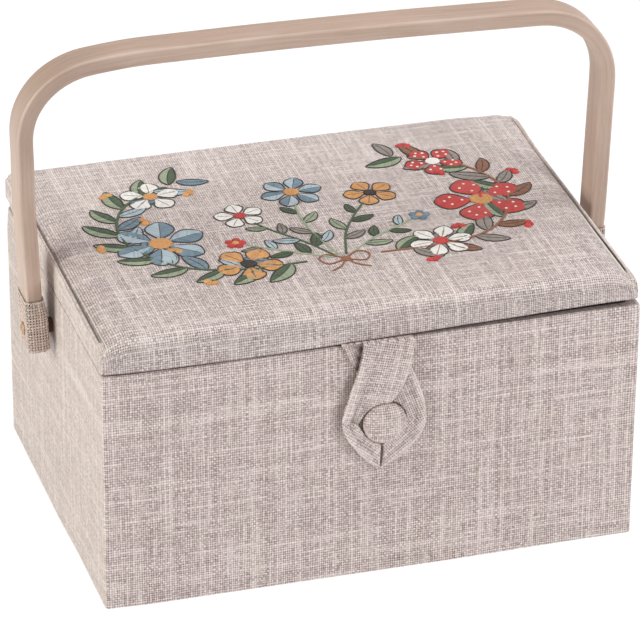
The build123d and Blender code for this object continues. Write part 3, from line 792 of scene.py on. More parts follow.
def lid_across(x, y):
    """Height of the lid's cloth, without the soft front edge, from the ridge over the seam to the padded crown."""
    a = np.abs(x)
    seam = seam_at(x, y)
    fall = 1.5 * y / 100.0
    rear = 2.3 * smooth01((y - 62) / 44.0)
    ridge = 167.2 + fall + rear + np.sqrt(np.clip(4.0 - np.clip(a - 158.0, 0, 2) ** 2, 0, 4))
    s = np.clip((seam - a) / 17.0, 0, 1)
    start = 168.7 + fall * 0.9 + rear
    rear = rear - 1.6 * smooth01((x - 138) / 14.0) * smooth01((y - 80) / 28.0)
    top = 173.1 + 0.25 * smooth01((y - 40) / 60) - 1.0 * smooth01((x - 120) / 24.0) * smooth01((y - 80) / 28.0) + 0.45 * (1 - np.clip(a / 141.0, 0, 1) ** 2)
    pad = start + (top - start) * (1 - (1 - s) ** 2.6)
    z = np.where(a > seam, ridge, pad)
    fade = (1 - smooth01((-y - 98.0) / 8.0)) * (1 - smooth01((y - 108.0) / 5.0))
    crease = 2.3 * np.exp(-(((a - seam) / 0.62) ** 2)) * fade
    return z - crease - 2.7 * smooth01((x - 147) / 13.0) * smooth01((y - 99) / 15.0)


def lid_drop(x, y):
    """The soft front top edge and the tight back one."""
    a = np.abs(x)
    r = 8.0 - 2.2 * smooth01((a - 148) / 10.0)
    t = np.clip((-y - 107.0) / 8.0, 0, 1)
    q = np.clip((y - 112.8) / 2.2, 0, 1)
    return r * (1 - np.sqrt(np.clip(1 - t * t, 0, 1))) + 2.2 * (1 - np.sqrt(np.clip(1 - q * q, 0, 1)))


lid_soft = waves(21, 10, 38, 120)
lid_fine = waves(22, 10, 8, 22)


def lid_top(x, y):
    x, y = np.asarray(x, float), np.asarray(y, float)
    P = np.stack([x, y, np.zeros_like(x)], -1)
    inner = smooth01((154 - np.abs(x)) / 14.0) * smooth01((113 - np.abs(y)) / 8.0)
    return lid_across(x, y) - lid_drop(x, y) + inner * (0.34 * lid_soft(P) + 0.06 * lid_fine(P))


def lines(edge, start, fine_from, fine_to, fine_step, coarse):
    """Grid lines from 0 to edge: coarse, then fine over the seam, then closing on the edge by angle."""
    a = list(np.arange(0, 140.0, coarse))
    a += list(np.linspace(140.0, fine_from, 9, endpoint=False))
    a += list(np.arange(fine_from, fine_to, fine_step))
    a += [start + (edge - start) * math.sin(t) for t in np.linspace(0, PI / 2, 7)]
    return np.array(sorted(set(np.round(a, 4))))


xs = lines(HX, 158.0, 154.0, 158.0, 0.3, 4.0)
xs = np.concatenate([-xs[:0:-1], xs])
ys = [-107 - 8 * math.sin(t) for t in np.linspace(PI / 2, 0, 11)] + list(np.arange(-104.0, 108.1, 4.0))
ys += [110.4, 112.0] + [112.8 + 2.2 * math.sin(t) for t in np.linspace(0, PI / 2, 7)]
ys = np.array(sorted(set(np.round(ys, 4))))


def plan_round(x, y, rc):
    """Draws the corner of a rectangular grid in to a rounded corner."""
    dx, dy = np.clip(np.abs(x) - (HX - rc), 0, None), np.clip(np.abs(y) - (HY - rc), 0, None)
    both = (dx > 0) & (dy > 0)
    length = np.hypot(dx, dy)
    k = np.where(both, np.maximum(dx, dy) / np.maximum(length, 1e-9), 1.0)
    return (
        np.sign(x) * (np.minimum(np.abs(x), HX - rc) + dx * k),
        np.sign(y) * (np.minimum(np.abs(y), HY - rc) + dy * k),
    )


X, Y = np.meshgrid(xs, ys)
Z = lid_top(X, Y)
PX, PY = plan_round(X, Y, LID_RC)
TOP = np.stack([PX, PY, Z], -1)
# cloth length over the soft edges, for the weave
fall = np.array([-(8 * math.asin(min(1, (-v - 107) / 8)) - (-v - 107)) if v < -107 else 0.0 for v in ys])
UVT = np.stack([X, Y + fall[:, None]], -1)
b = Build()
i0, i1 = np.searchsorted(xs, -SEAM), np.searchsorted(xs, SEAM)
near_ = smooth01((55.0 - Y) / 70.0)
front_end = smooth01((-Y - 40.0) / 40.0)
# painted shade in the creases of both end seams, and painted light on the right end's wall beyond its seam
seam_shade_light = np.where(
    X > 0,
    -(0.12 + 0.66 * near_ + 0.3 * front_end)
    * np.exp(-(((X - seam_at(X, Y) - 0.2 - 0.75 * near_) / (0.7 + 0.35 * front_end)) ** 2))
    + smooth01((X - seam_at(X, Y) - 1.5 - 0.4 * near_) / 0.9),
    -0.55 * np.exp(-(((-X - SEAM) / 0.5) ** 2)),
) * (1 - smooth01((-Y - 99.0) / 7.0)) * (1 - smooth01((Y - 109.0) / 5.0))
# painted light: the top grows paler towards the back
seam_shade_light = seam_shade_light + 0.34 * smooth01((Y + 5.0) / 95.0) * (seam_shade_light > -0.12)
b.patch(TOP[:, i0 : i1 + 1], UVT[:, i0 : i1 + 1], T=seam_shade_light[:, i0 : i1 + 1])
# the lid's ends take the lit copy of the cloth, slot 1
for sl, sign in ((slice(0, i0 + 1), -1), (slice(i1, None), 1)):
    uv = np.stack([-sign * Y[:, sl] + 700 * sign, 170 + (HX - np.abs(X[:, sl])) * 1.2], -1)
    b.patch(TOP[:, sl], uv, mat=1, T=seam_shade_light[:, sl])

# the four sides, from the top patch's edge down, round the hem and up behind the rails
loop = [(0, i) for i in range(len(xs) - 1)]
loop += [(j, len(xs) - 1) for j in range(len(ys) - 1)]
loop += [(len(ys) - 1, i) for i in range(len(xs) - 1, 0, -1)]
loop += [(j, 0) for j in range(len(ys) - 1, 0, -1)]
edge = np.array([TOP[j, i] for j, i in loop])
LX, LY = HX - LID_RC, HY - LID_RC
core = np.stack([np.clip(edge[:, 0], -LX, LX), np.clip(edge[:, 1], -LY, LY)], 1)
out = edge[:, :2] - core
out /= np.maximum(np.linalg.norm(out, axis=1), 1e-9)[:, None]


def hem_z(x, y):
    """The hem: low over the rim at the left of the front, and a few millimetres clear of it at the right."""
    front = table(x, [-160, -156, -143, -130, -103, -73, -44, -17, 34, 76, 112, 143, 160],
                  [152.6, 152.5, 152.0, 151.75, 151.5, 151.45, 151.7, 152.2, 153.3, 154.1, 155.0, 155.5, 155.5])
    rest = table(x, [-160, 160], [151.9, 153.6])
    k = smooth01((-y - 60) / 55.0)
    return front * k + rest * (1 - k) + 0.10 * lid_soft(np.stack([x * 2, y * 2, x * 0 + 9], -1))


def proud(P, out):
    """How far the lid's walls stand out from the nominal box."""
    x, y, z = P.T
    left, right, front = np.clip(-out[:, 0], 0, 1), np.clip(out[:, 0], 0, 1), np.clip(-out[:, 1], 0, 1)
    f = front * table(x, [-160, -146, -70, -20, 60, 160], [0.4, 0.95, 1.05, 0.85, 0.45, 0.3]) * smooth01((169 - z) / 12.0)
    l = left * (0.5 + 1.25 * smooth01((y - 84) / 16.0) * smooth01((z - 155.6) / 2.6) - 0.9 * smooth01((y - 96) / 10.0) * smooth01((158.0 - z) / 2.4))
    return f + l + right * 0.35


hz = hem_z(edge[:, 0], edge[:, 1])
ring = [edge]
for t in (0.08, 0.18, 0.30, 0.42, 0.54, 0.66, 0.78, 0.88, 0.95):
    p = edge.copy()
    p[:, 2] = edge[:, 2] + (hz + 0.8 - edge[:, 2]) * t
    quick = smooth01(-out[:, 0]) * smooth01((edge[:, 1] - 70) / 20.0)
    grow = proud(p, out) * smooth01(t / (0.28 - 0.2 * quick)) + 0.06 * lid_fine(p)
    p[:, :2] += out * grow[:, None]
    ring.append(p)
for inset, dz, keep in ((0.0, 0.7, 1.0), (0.14, 0.3, 0.95), (0.45, 0.05, 0.8), (1.1, 0.0, 0.55), (3.0, 0.0, 0.2), (5.2, 0.05, 0.0), (5.85, 0.35, 0.0), (6.05, 0.9, 0.0)):
    p = edge.copy()
    p[:, 2] = hz + dz
    r = max(LID_RC - inset, 0.3)
    lim = np.array([HX - inset - r, HY - inset - r])
    p[:, :2] = np.clip(edge[:, :2], -lim, lim) + out * (r + proud(p, out) * keep)[:, None]
    ring.append(p)
last = ring[-1].copy()
for z in (157.0, 159.7):
    q = last.copy()
    q[:, 2] = z
    ring.append(q)
R = np.array(ring)
steps = np.concatenate([[0], np.cumsum(np.linalg.norm(np.diff(R, axis=0), axis=2).mean(1))])
# the weave on the sides runs along the loop and joins the top's own cloth at the front
s = np.concatenate([[0], np.cumsum(np.linalg.norm(np.diff(np.vstack([edge, edge[:1]])[:, :2], axis=0), axis=1))])
s = s - HX
U = np.repeat(s[None, :], len(R), 0)
V = -HY + fall[0] - np.repeat(steps[:, None], len(s), 1)
first = len(b.f)
b.patch(R, np.stack([U, V], -1), close=True, flip=True)
n_ = R.shape[1]
# the lid's end walls take the lit copy of the cloth, slot 1
for i in range(first, len(b.f)):
    k = (i - first) % n_
    if abs(out[k, 0]) > 0.72 and abs(out[(k + 1) % n_, 0]) > 0.72:
        b.m[i] = 1
lid_linen = b.make("lid_linen", "lid", [LINEN_LID_SHADED, LINEN_ENDS_LIT], "linen", weld=0.002)
solidify(lid_linen, 0.5)
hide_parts("lid_cover", "lid_left_band", "lid_right_band")


def lid_frame():
    """The lid's four rails, cut to the hem above them."""
    b = Build()
    ol = Outline(HX - 0.9, HY - 0.9, 1.9, step=8.0, corner=4)
    rows, uvs = [], []
    prof = [(0.3, 0.42), (0.0, 0.7), (0.0, None), (0.3, None), (4.6, None), (4.9, None), (4.9, 0.7), (4.6, 0.42), (0.3, 0.42)]
    tops = {2: 160.7, 3: 161.0, 4: 161.0, 5: 160.7}
    for j, (inset, up) in enumerate(prof):
        p = ol.at(inset)
        z = np.full(len(p), tops[j]) if up is None else hem_z(p[:, 0], p[:, 1]) + up
        rows.append(np.column_stack([p, z]))
        uvs.append(np.column_stack([ol.s, np.full(len(ol.s), j * 3.0)]))
    b.patch(np.array(rows), np.array(uvs), close=True)
    ob = b.make("lid_frame", "lid", [BOARD], "board", weld=0.001, smooth=False)
    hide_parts("lid_front_rail", "lid_back_rail", "lid_left_rail", "lid_right_rail")


lid_frame()


def foam_pad():
    b = Build()
    fx = np.concatenate([np.linspace(-156.0, -140, 9)[:-1], np.linspace(-140, 140, 41), np.linspace(140, 156.0, 9)[1:]])
    fy = np.concatenate([[-113.6 + 6.4 * (1 - math.cos(t)) for t in np.linspace(0, PI / 2, 6)][:-1],
                         np.linspace(-107.2, 112.4, 33)])
    X, Y = np.meshgrid(fx, fy)
    top = lid_across(np.clip(X, -154, 154), np.clip(Y, -112, 107)) - lid_drop(X, Y) - 1.1
    top = np.maximum(top, 165.3)
    b.patch(np.stack([X, Y, top], -1), np.stack([X, Y], -1))
    b.patch(np.stack([X, Y, np.full_like(X, 165.0)], -1), np.stack([X, Y], -1), flip=True)
    ring = [(0, i) for i in range(len(fx) - 1)] + [(j, len(fx) - 1) for j in range(len(fy) - 1)]
    ring += [(len(fy) - 1, i) for i in range(len(fx) - 1, 0, -1)] + [(j, 0) for j in range(len(fy) - 1, 0, -1)]
    hi = np.array([[X[j, i], Y[j, i], top[j, i]] for j, i in ring])
    lo = hi.copy()
    lo[:, 2] = 165.0
    t = np.arange(len(ring) + 1) * 4.0
    b.patch(np.array([lo, hi]), np.stack([np.stack([t, t * 0], -1), np.stack([t, t * 0 + 6], -1)]), close=True)
    s = Shade("foam")
    p = s.place()
    cells = s.noise(p, 1500.0, 4.0, 0.7)
    mat = s.finish(
        s.ramp(cells, [(0.35, (0.62, 0.60, 0.52)), (0.65, (0.80, 0.78, 0.70))]), s.remap(cells, 0.3, 0.7, 0.8, 0.95),
        s.bump(cells, 0.4, 0.3), Specular_IOR_Level=0.2)
    ob = b.make("lid_foam", "lid", [mat], "foam", weld=0.001)
    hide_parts("lid_padding")
    return ob


foam_pad()


# ------------------------------------------------------------------ handle bow
def bow_path():
    """The bow's middle line. Its left bend is a little tighter than its right one and its bar isn't quite level."""
    lean, top, bar, x0, end = math.radians(2.39), 294.0, 3600.0, 172.0, 116.3
    bar_c = top - bar
    ex = x0 - (127.0 - end) * math.tan(lean)

    def half(R):
        px, pz = x0 - R * math.cos(lean), 127.0 + R * math.sin(lean)
        dz = pz - bar_c
        bb = px * math.sin(lean) + dz * math.cos(lean)
        k = -bb + math.sqrt(bb * bb - (px * px + dz * dz - (bar - R) ** 2))
        cx, cz = px + k * math.sin(lean), pz + k * math.cos(lean)
        lx, lz = cx + R * math.cos(lean), cz - R * math.sin(lean)
        a0 = math.atan2(lz - cz, lx - cx)
        n = math.hypot(cx, cz - bar_c)
        a1 = math.atan2((cz - bar_c) / n, cx / n)
        pts = [(ex + (lx - ex) * t, end + (lz - end) * t) for t in np.linspace(0, 1, 30)[:-1]]
        pts += [(cx + R * math.cos(a), cz + R * math.sin(a)) for a in np.linspace(a0, a1, 26)[:-1]]
        h = math.atan2(cx / n, (cz - bar_c) / n)
        pts += [(bar * math.sin(a), bar_c + bar * math.cos(a)) for a in np.linspace(h, 0, 26)]
        return np.array(pts)

    right, left = half(45.0), half(43.0)[-2::-1] * [-1, 1]
    pts = np.vstack([right, left])
    high = smooth01((pts[:, 1] - 245) / 35.0)
    pts[:, 1] += high * table(pts[:, 0], [-172, -150, -139, -127, -116, -105, -87, -65, -36, -7, 21, 50, 78, 107, 125, 140, 155, 172],
                              [-0.5, 0.0, 0.6, 1.3, 2.0, 2.1, 1.5, 0.95, 0.4, -0.2, -0.65, -1.0, -1.5, -1.75, -1.9, -1.6, -1.1, -0.5])
    pts[:, 0] += 1.3 * np.exp(-(((pts[:, 1] - 244) / 23.0) ** 2)) * smooth01((-pts[:, 0] - 60) / 90.0)
    pts[:, 0] -= 0.05 * smooth01((pts[:, 1] - 170) / 55.0) * smooth01((pts[:, 0] - 60) / 90.0)
    for _ in range(3):
        pts[1:-1] = (pts[:-2] + 2 * pts[1:-1] + pts[2:]) / 4
    return pts, lean, (ex, end)


PATH, LEAN, LEG_END = bow_path()
tangent = np.gradient(PATH, axis=0)
tangent /= np.linalg.norm(tangent, axis=1)[:, None]
normal = np.stack([tangent[:, 1], -tangent[:, 0]], 1)  # to the outside of the bow
length = np.concatenate([[0], np.cumsum(np.linalg.norm(np.diff(PATH, axis=0), axis=1))])


def section(hb, ht, r, crown=0.12, corner=6, along=6):
    """Rounded section: first coordinate along Y, second outward, slightly crowned faces. Returns points and an edge mark."""
    pts, marks = [], []
    for k, (sx, sy) in enumerate(((1, 1), (-1, 1), (-1, -1), (1, -1))):
        a0 = 90 * k
        for j in range(corner + 1):
            a = math.radians(a0 + 90 * j / corner)
            pts.append((sx * (hb - r) + r * math.cos(a), sy * (ht - r) + r * math.sin(a)))
            marks.append(math.sin(PI * j / corner))
        nx, ny = ((-1, 1), (-1, -1), (1, -1), (1, 1))[k]
        p, q = np.array(pts[-1]), np.array((nx * (hb - r) + r * math.cos(math.radians(a0 + 90)), ny * (ht - r) + r * math.sin(math.radians(a0 + 90))))
        out_dir = np.array([math.cos(math.radians(a0 + 90)), math.sin(math.radians(a0 + 90))])
        for j in range(1, along):
            t = j / along
            c = p + (q - p) * t + out_dir * crown * 4 * t * (1 - t)
            pts.append(tuple(c))
            marks.append(0.0)
    return np.array(pts), np.array(marks)


sec, marks = section(10.5, 4.85, 1.7)
sec_s = np.concatenate([[0], np.cumsum(np.linalg.norm(np.diff(np.vstack([sec, sec[:1]]), axis=0), axis=1))])
hand = waves(31, 7, 60, 220)
rings, uvs = [], []
for i in range(len(PATH)):
    c = np.array([PATH[i, 0], 2.5, PATH[i, 1]])
    nrm = np.array([normal[i, 0], 0, normal[i, 1]])
    k = (1 + 0.006 * float(hand(c))) * (1 - 0.05 * (1 - smooth01((PATH[i, 1] - 140) / 20.0)))
    ring_pts = c + np.outer(sec[:, 1] * k, nrm) + np.outer(sec[:, 0] * k, [0, 1, 0])
    rings.append(ring_pts)
    uvs.append(np.column_stack([np.full(len(sec_s), length[i]), sec_s]))
b = Build()
b.tube(rings, np.array(uvs))
bow = b.make("bentwood_bow", "handle", [WOOD], "bentwood")
# the edge mark places the painted highlight on the bow's rounded edges
att = bow.data.attributes.new("edge", "FLOAT", "POINT")
att.data.foreach_set("value", np.tile(marks, len(PATH)).astype(np.float32))
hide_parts("handle_bow")


# ------------------------------------------------------------------ burlap cuffs on the bow's ends, woven from real yarns
def cuff(sign, name):
    lean = LEAN
    origin = np.array([sign * LEG_END[0], 2.5, LEG_END[1]])
    up = np.array([sign * math.sin(lean), 0, math.cos(lean)])
    outw = np.array([sign * math.cos(lean), 0, -math.sin(lean)])
    along_y = np.array([0.0, 1.0, 0.0])
    hb, ht, r = 10.5, 4.6, 1.9
    top, bottom = 31.7, -0.85

    def ring_at(off, n, phase=0.0):
        """n points round the sleeve at that distance outside the wood, with their normals, evenly spaced."""
        q, nn = [], []
        for k, (sx, sy) in enumerate(((1, 1), (-1, 1), (-1, -1), (1, -1))):
            for j in range(9):
                a = math.radians(90 * k + 90 * j / 8)
                q.append((sx * (hb - r) + (r + off) * math.cos(a), sy * (ht - r) + (r + off) * math.sin(a)))
                nn.append((math.cos(a), math.sin(a)))
        q.append(q[0])
        nn.append(nn[0])
        q, nn = np.array(q), np.array(nn)
        q[:, 1] = np.where(q[:, 1] < 1.2, 1.2 - 1.28 * (1.2 - q[:, 1]), q[:, 1])
        s = np.concatenate([[0], np.cumsum(np.linalg.norm(np.diff(q, axis=0), axis=1))])
        t = (np.arange(n) / n + phase) % 1.0 * s[-1]
        p = np.stack([np.interp(t, s, q[:, 0]), np.interp(t, s, q[:, 1])], 1)
        m = np.stack([np.interp(t, s, nn[:, 0]), np.interp(t, s, nn[:, 1])], 1)
        return p, m / np.linalg.norm(m, axis=1)[:, None], s[-1]

    def belly(q, h):
        """The cloth stands a little off the wood toward the case, over the screw's washer, but not at its rim."""
        return 0.185 * (1 - smooth01((31.0 - h) / 9.0)) * np.maximum(0.0, 1.2 - q)

    def world(p, h):
        h = np.full(len(p), h) if np.isscalar(h) else h
        return origin + np.outer(p[:, 0], along_y) + np.outer(p[:, 1] + belly(p[:, 1], h), outw) + np.outer(h, up)

    rnd = np.random.RandomState(5 if sign < 0 else 6)
    # under-layer: a dark layer just outside the wood, folded shut below it: painted shade, seen through the gaps
    # between the yarns
    b = Build()
    rows, uvs = [], []
    prof = [(0.32, top + 0.15), (0.34, top - 1.0), (0.34, 22.0), (0.34, 12.0), (0.34, 3.0), (0.28, 0.4), (-0.6, bottom - 0.15), (-2.2, bottom - 0.35)]
    back = [(-2.2, bottom + 0.1), (-0.7, bottom + 0.35), (0.08, 0.6), (0.08, 3.0), (0.08, 12.0), (0.08, 22.0), (0.08, top - 1.0), (0.1, top)]
    m = 64
    pv = profile_length(prof + back + prof[:1])
    for j, (off, h) in enumerate(prof + back + prof[:1]):
        p, nn, total = ring_at(max(off, -1.4), m)
        if off < -1.4:
            p = p * [1 + (off + 1.4) / hb, 1 + (off + 1.4) / ht]
        rows.append(world(p, h))
        uvs.append(np.column_stack([np.linspace(0, total, m + 1), np.full(m + 1, pv[j])]))
    b.patch(np.array(rows), np.array(uvs), close=True)
    sleeve = b.make(name + "_sleeve", "handle", [BURLAP_SHADE], "burlap", weld=0.001)

    # foot of the pocket: a folded, stitched flap across the end of the wood
    # the weave: rings of weft and the warp round the wood, the same yarns woven across the end of the wood at the foot
    # of the pocket, an overcast rim and a few loose fibres
    b = Build()
    warp_n, pitch = 38, 1.74
    weft_n = int((top - 0.4 - bottom) / pitch) + 1
    per_cell = 4

    def yarn(P, N, width, thick, uv0):
        """A flat oval yarn along P with outward normals N."""
        P, N = np.asarray(P), np.asarray(N)
        T = np.gradient(P, axis=0)
        T /= np.linalg.norm(T, axis=1)[:, None]
        B = np.cross(T, N)
        B /= np.linalg.norm(B, axis=1)[:, None]
        k = 6
        ang = np.arange(k) * 2 * PI / k
        rings = P[:, None, :] + (np.cos(ang)[None, :, None] * B[:, None, :]) * (width / 2)[:, None, None] + (
            np.sin(ang)[None, :, None] * N[:, None, :]
        ) * (thick / 2)
        L = np.concatenate([[0], np.cumsum(np.linalg.norm(np.diff(P, axis=0), axis=1))])
        UV = np.stack([np.repeat(L[:, None], k + 1, 1) + uv0, np.repeat(np.linspace(0, 3.0, k + 1)[None, :], len(P), 0) + uv0 * 3], -1)
        return rings, UV

    def rough_width(n, base):
        w = np.interp(np.linspace(0, 8, n), np.arange(9), rnd.uniform(0.82, 1.2, 9)) * base
        return w

    for i in range(weft_n):
        h0 = bottom + 0.75 + i * pitch
        if h0 > top - 0.6:
            break
        n = warp_n * per_cell
        p, nn, total = ring_at(0.62, n, phase=0.0)
        wave = np.cos(PI * (np.arange(n) / per_cell + i)) * 0.27
        jitter = np.interp(np.arange(n), np.linspace(0, n, 9), np.append(rnd.uniform(-0.16, 0.16, 8), 0))
        jitter[-1] = jitter[0]
        P = world(p + nn * wave[:, None], h0 + jitter)
        Nw = np.outer(nn[:, 0], along_y) + np.outer(nn[:, 1], outw)
        # close the ring by repeating its first points
        P, Nw = np.vstack([P, P[:2]]), np.vstack([Nw, Nw[:2]])
        rings, UV = yarn(P, Nw, rough_width(len(P), 1.1), 0.62, 10.0 * i)
        b.tube(rings[:-1], UV[:-1], caps=False)
    heights = np.linspace(bottom - 0.1, top - 0.1, weft_n * per_cell)
    for i in range(warp_n):
        p, nn, total = ring_at(0.62, warp_n, phase=0.0)
        phase = (heights - (bottom + 0.75)) / pitch
        wave = -np.cos(PI * (phase + i)) * 0.27
        base = origin + p[i, 0] * along_y + p[i, 1] * outw
        Nn = nn[i, 0] * along_y + nn[i, 1] * outw
        drift = np.interp(heights, np.linspace(bottom, top, 5), rnd.uniform(-0.14, 0.14, 5))
        side_dir = np.cross(up, Nn)
        P = base + np.outer(heights, up) + np.outer(wave, Nn) + np.outer(drift, side_dir)
        P = P + np.outer(belly(p[i, 1], heights), outw)
        # the yarns turn under at the foot
        P[0] += -0.5 * Nn - 0.25 * up
        rings, UV = yarn(P, np.repeat(Nn[None, :], len(P), 0), rough_width(len(P), 1.08), 0.62, 400 + 10.0 * i)
        b.tube(rings, UV)
    # the foot: the same yarns woven straight across the end of the wood
    across = np.linspace(-(ht + 0.95), ht - 0.75, 7)
    along_ = np.linspace(-(hb - 0.8), hb - 0.8, 11)
    for i, q in enumerate(across):
        reach = hb + 0.25 - 1.4 * min(1.0, abs(q + 0.85) / (ht + 0.2)) ** 6
        t = np.linspace(-reach, reach, 45)
        wave = 0.24 * np.cos(PI * (t - along_[0]) / (along_[1] - along_[0]) + PI * i)
        hh = bottom - 0.62 - wave + 1.3 * (np.abs(t) / reach) ** 14
        P = origin + np.outer(t, along_y) + np.outer(np.full(45, q), outw) + np.outer(hh, up)
        rings, UV = yarn(P, np.repeat(-up[None, :], 45, 0), rough_width(45, 1.12), 0.6, 620 + 10.0 * i)
        b.tube(rings, UV)
    for i, q in enumerate(along_):
        reach = ht + 0.25 - 1.2 * (abs(q) / hb) ** 8
        t = np.linspace(-reach - 1.7, reach, 27)
        wave = -0.24 * np.cos(PI * (t - across[0]) / (across[1] - across[0]) + PI * i)
        hh = bottom - 0.62 - wave + 1.3 * (np.abs(t + 0.85) / (reach + 0.85)) ** 10
        P = origin + np.outer(np.full(27, q), along_y) + np.outer(t, outw) + np.outer(hh, up)
        rings, UV = yarn(P, np.repeat(-up[None, :], 27, 0), rough_width(27, 1.2), 0.6, 760 + 10.0 * i)
        b.tube(rings, UV)
    # overcast rim: pale thread in slanting stitches over the raw edge
    n = 46
    p, nn, total = ring_at(0.55, n)
    for i in range(n):
        a, na = p[i], nn[i]
        c = p[(i + 1) % n]
        mid = (a + c) / 2
        pts2 = np.array([a - na * 0.15, a + na * 0.42, mid + na * 0.5, c + na * 0.3, c - na * 0.35])
        hh = np.array([top - 1.5, top - 0.7, top + 0.05, top + 0.28, top + 0.1]) + rnd.uniform(-0.12, 0.12)
        P = world(pts2, hh)
        Nn = np.repeat((na[0] * along_y + na[1] * outw)[None, :], 5, 0)
        rings, UV = yarn(spline(P, 9), np.repeat(Nn[:1], 9, 0), np.full(9, 0.72), 0.5, 900 + 10.0 * i)
        b.tube(rings, UV, mat=1)
    # a few loose fibres at the rim
    for i in range(16):
        k = rnd.randint(0, n)
        a, na = p[k], nn[k]
        lift = rnd.uniform(0.6, 1.8)
        lean_by = rnd.uniform(-0.9, 0.9)
        tang = np.array([-na[1], na[0]])
        pts2 = np.array([a, a + na * 0.35 + tang * lean_by * 0.4, a + na * rnd.uniform(0.3, 0.9) + tang * lean_by])
        P = world(pts2, np.array([top - 0.4, top + lift * 0.5, top + lift]))
        Nn = np.repeat((na[0] * along_y + na[1] * outw)[None, :], 6, 0)
        rings, UV = yarn(spline(P, 6), Nn, np.full(6, 0.2), 0.18, 1500 + 7.0 * i)
        b.tube(rings, UV, mat=1)
    weave = b.make(name + "_weave", "handle", [BURLAP, BURLAP_PALE], "burlap")
    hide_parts(name)
    return sleeve, weave


BURLAP = thread("burlap_yarn", (0.60, 0.485, 0.425), 0.30)
BURLAP_PALE = thread("burlap_rim", (0.72, 0.64, 0.57), 0.14)
cuff(-1, "left_cuff")
cuff(1, "right_cuff")


# ------------------------------------------------------------------ covered button
def button():
    b = Build()
    cx, cz, y0 = 5.5, 100.0, -118.4
    prof = [(0.0, 7.5), (1.8, 7.48), (3.8, 7.38), (5.8, 7.15), (7.8, 6.7), (9.5, 6.0), (10.9, 5.05), (11.9, 3.9), (12.55, 2.7),
            (12.9, 1.5), (12.85, 0.6), (12.5, 0.1), (11.8, -0.15), (9.0, -0.2), (5.0, -0.2), (0.0, -0.2)]
    n = 72
    ang = np.arange(n) * 2 * PI / n
    rows, uvs = [], []
    L = profile_length(prof)
    for j, (r, h) in enumerate(prof):
        gather = 1 + 0.006 * np.cos(26 * ang) * smooth01((L[j] - 9) / 5.0)
        x, z = cx + r * gather * np.cos(ang), cz + r * gather * np.sin(ang)
        rows.append(np.stack([x, np.full(n, y0 - h), z], -1))
        a2 = np.append(ang, ang[0])
        k = L[j] / max(r, 1e-6) if r > 0 and j < 11 else 1.0
        uvs.append(np.stack([(r * np.cos(a2)) * (k if j < 11 else 1), (r * np.sin(a2)) * (k if j < 11 else 1)], -1) + [330, 77])
    b.patch(np.array(rows), np.array(uvs), close=True)
    ob = b.make("button_linen", "case", [LINEN_SMALL], "linen", weld=0.01)
    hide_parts("button_dome")
    return ob


button()


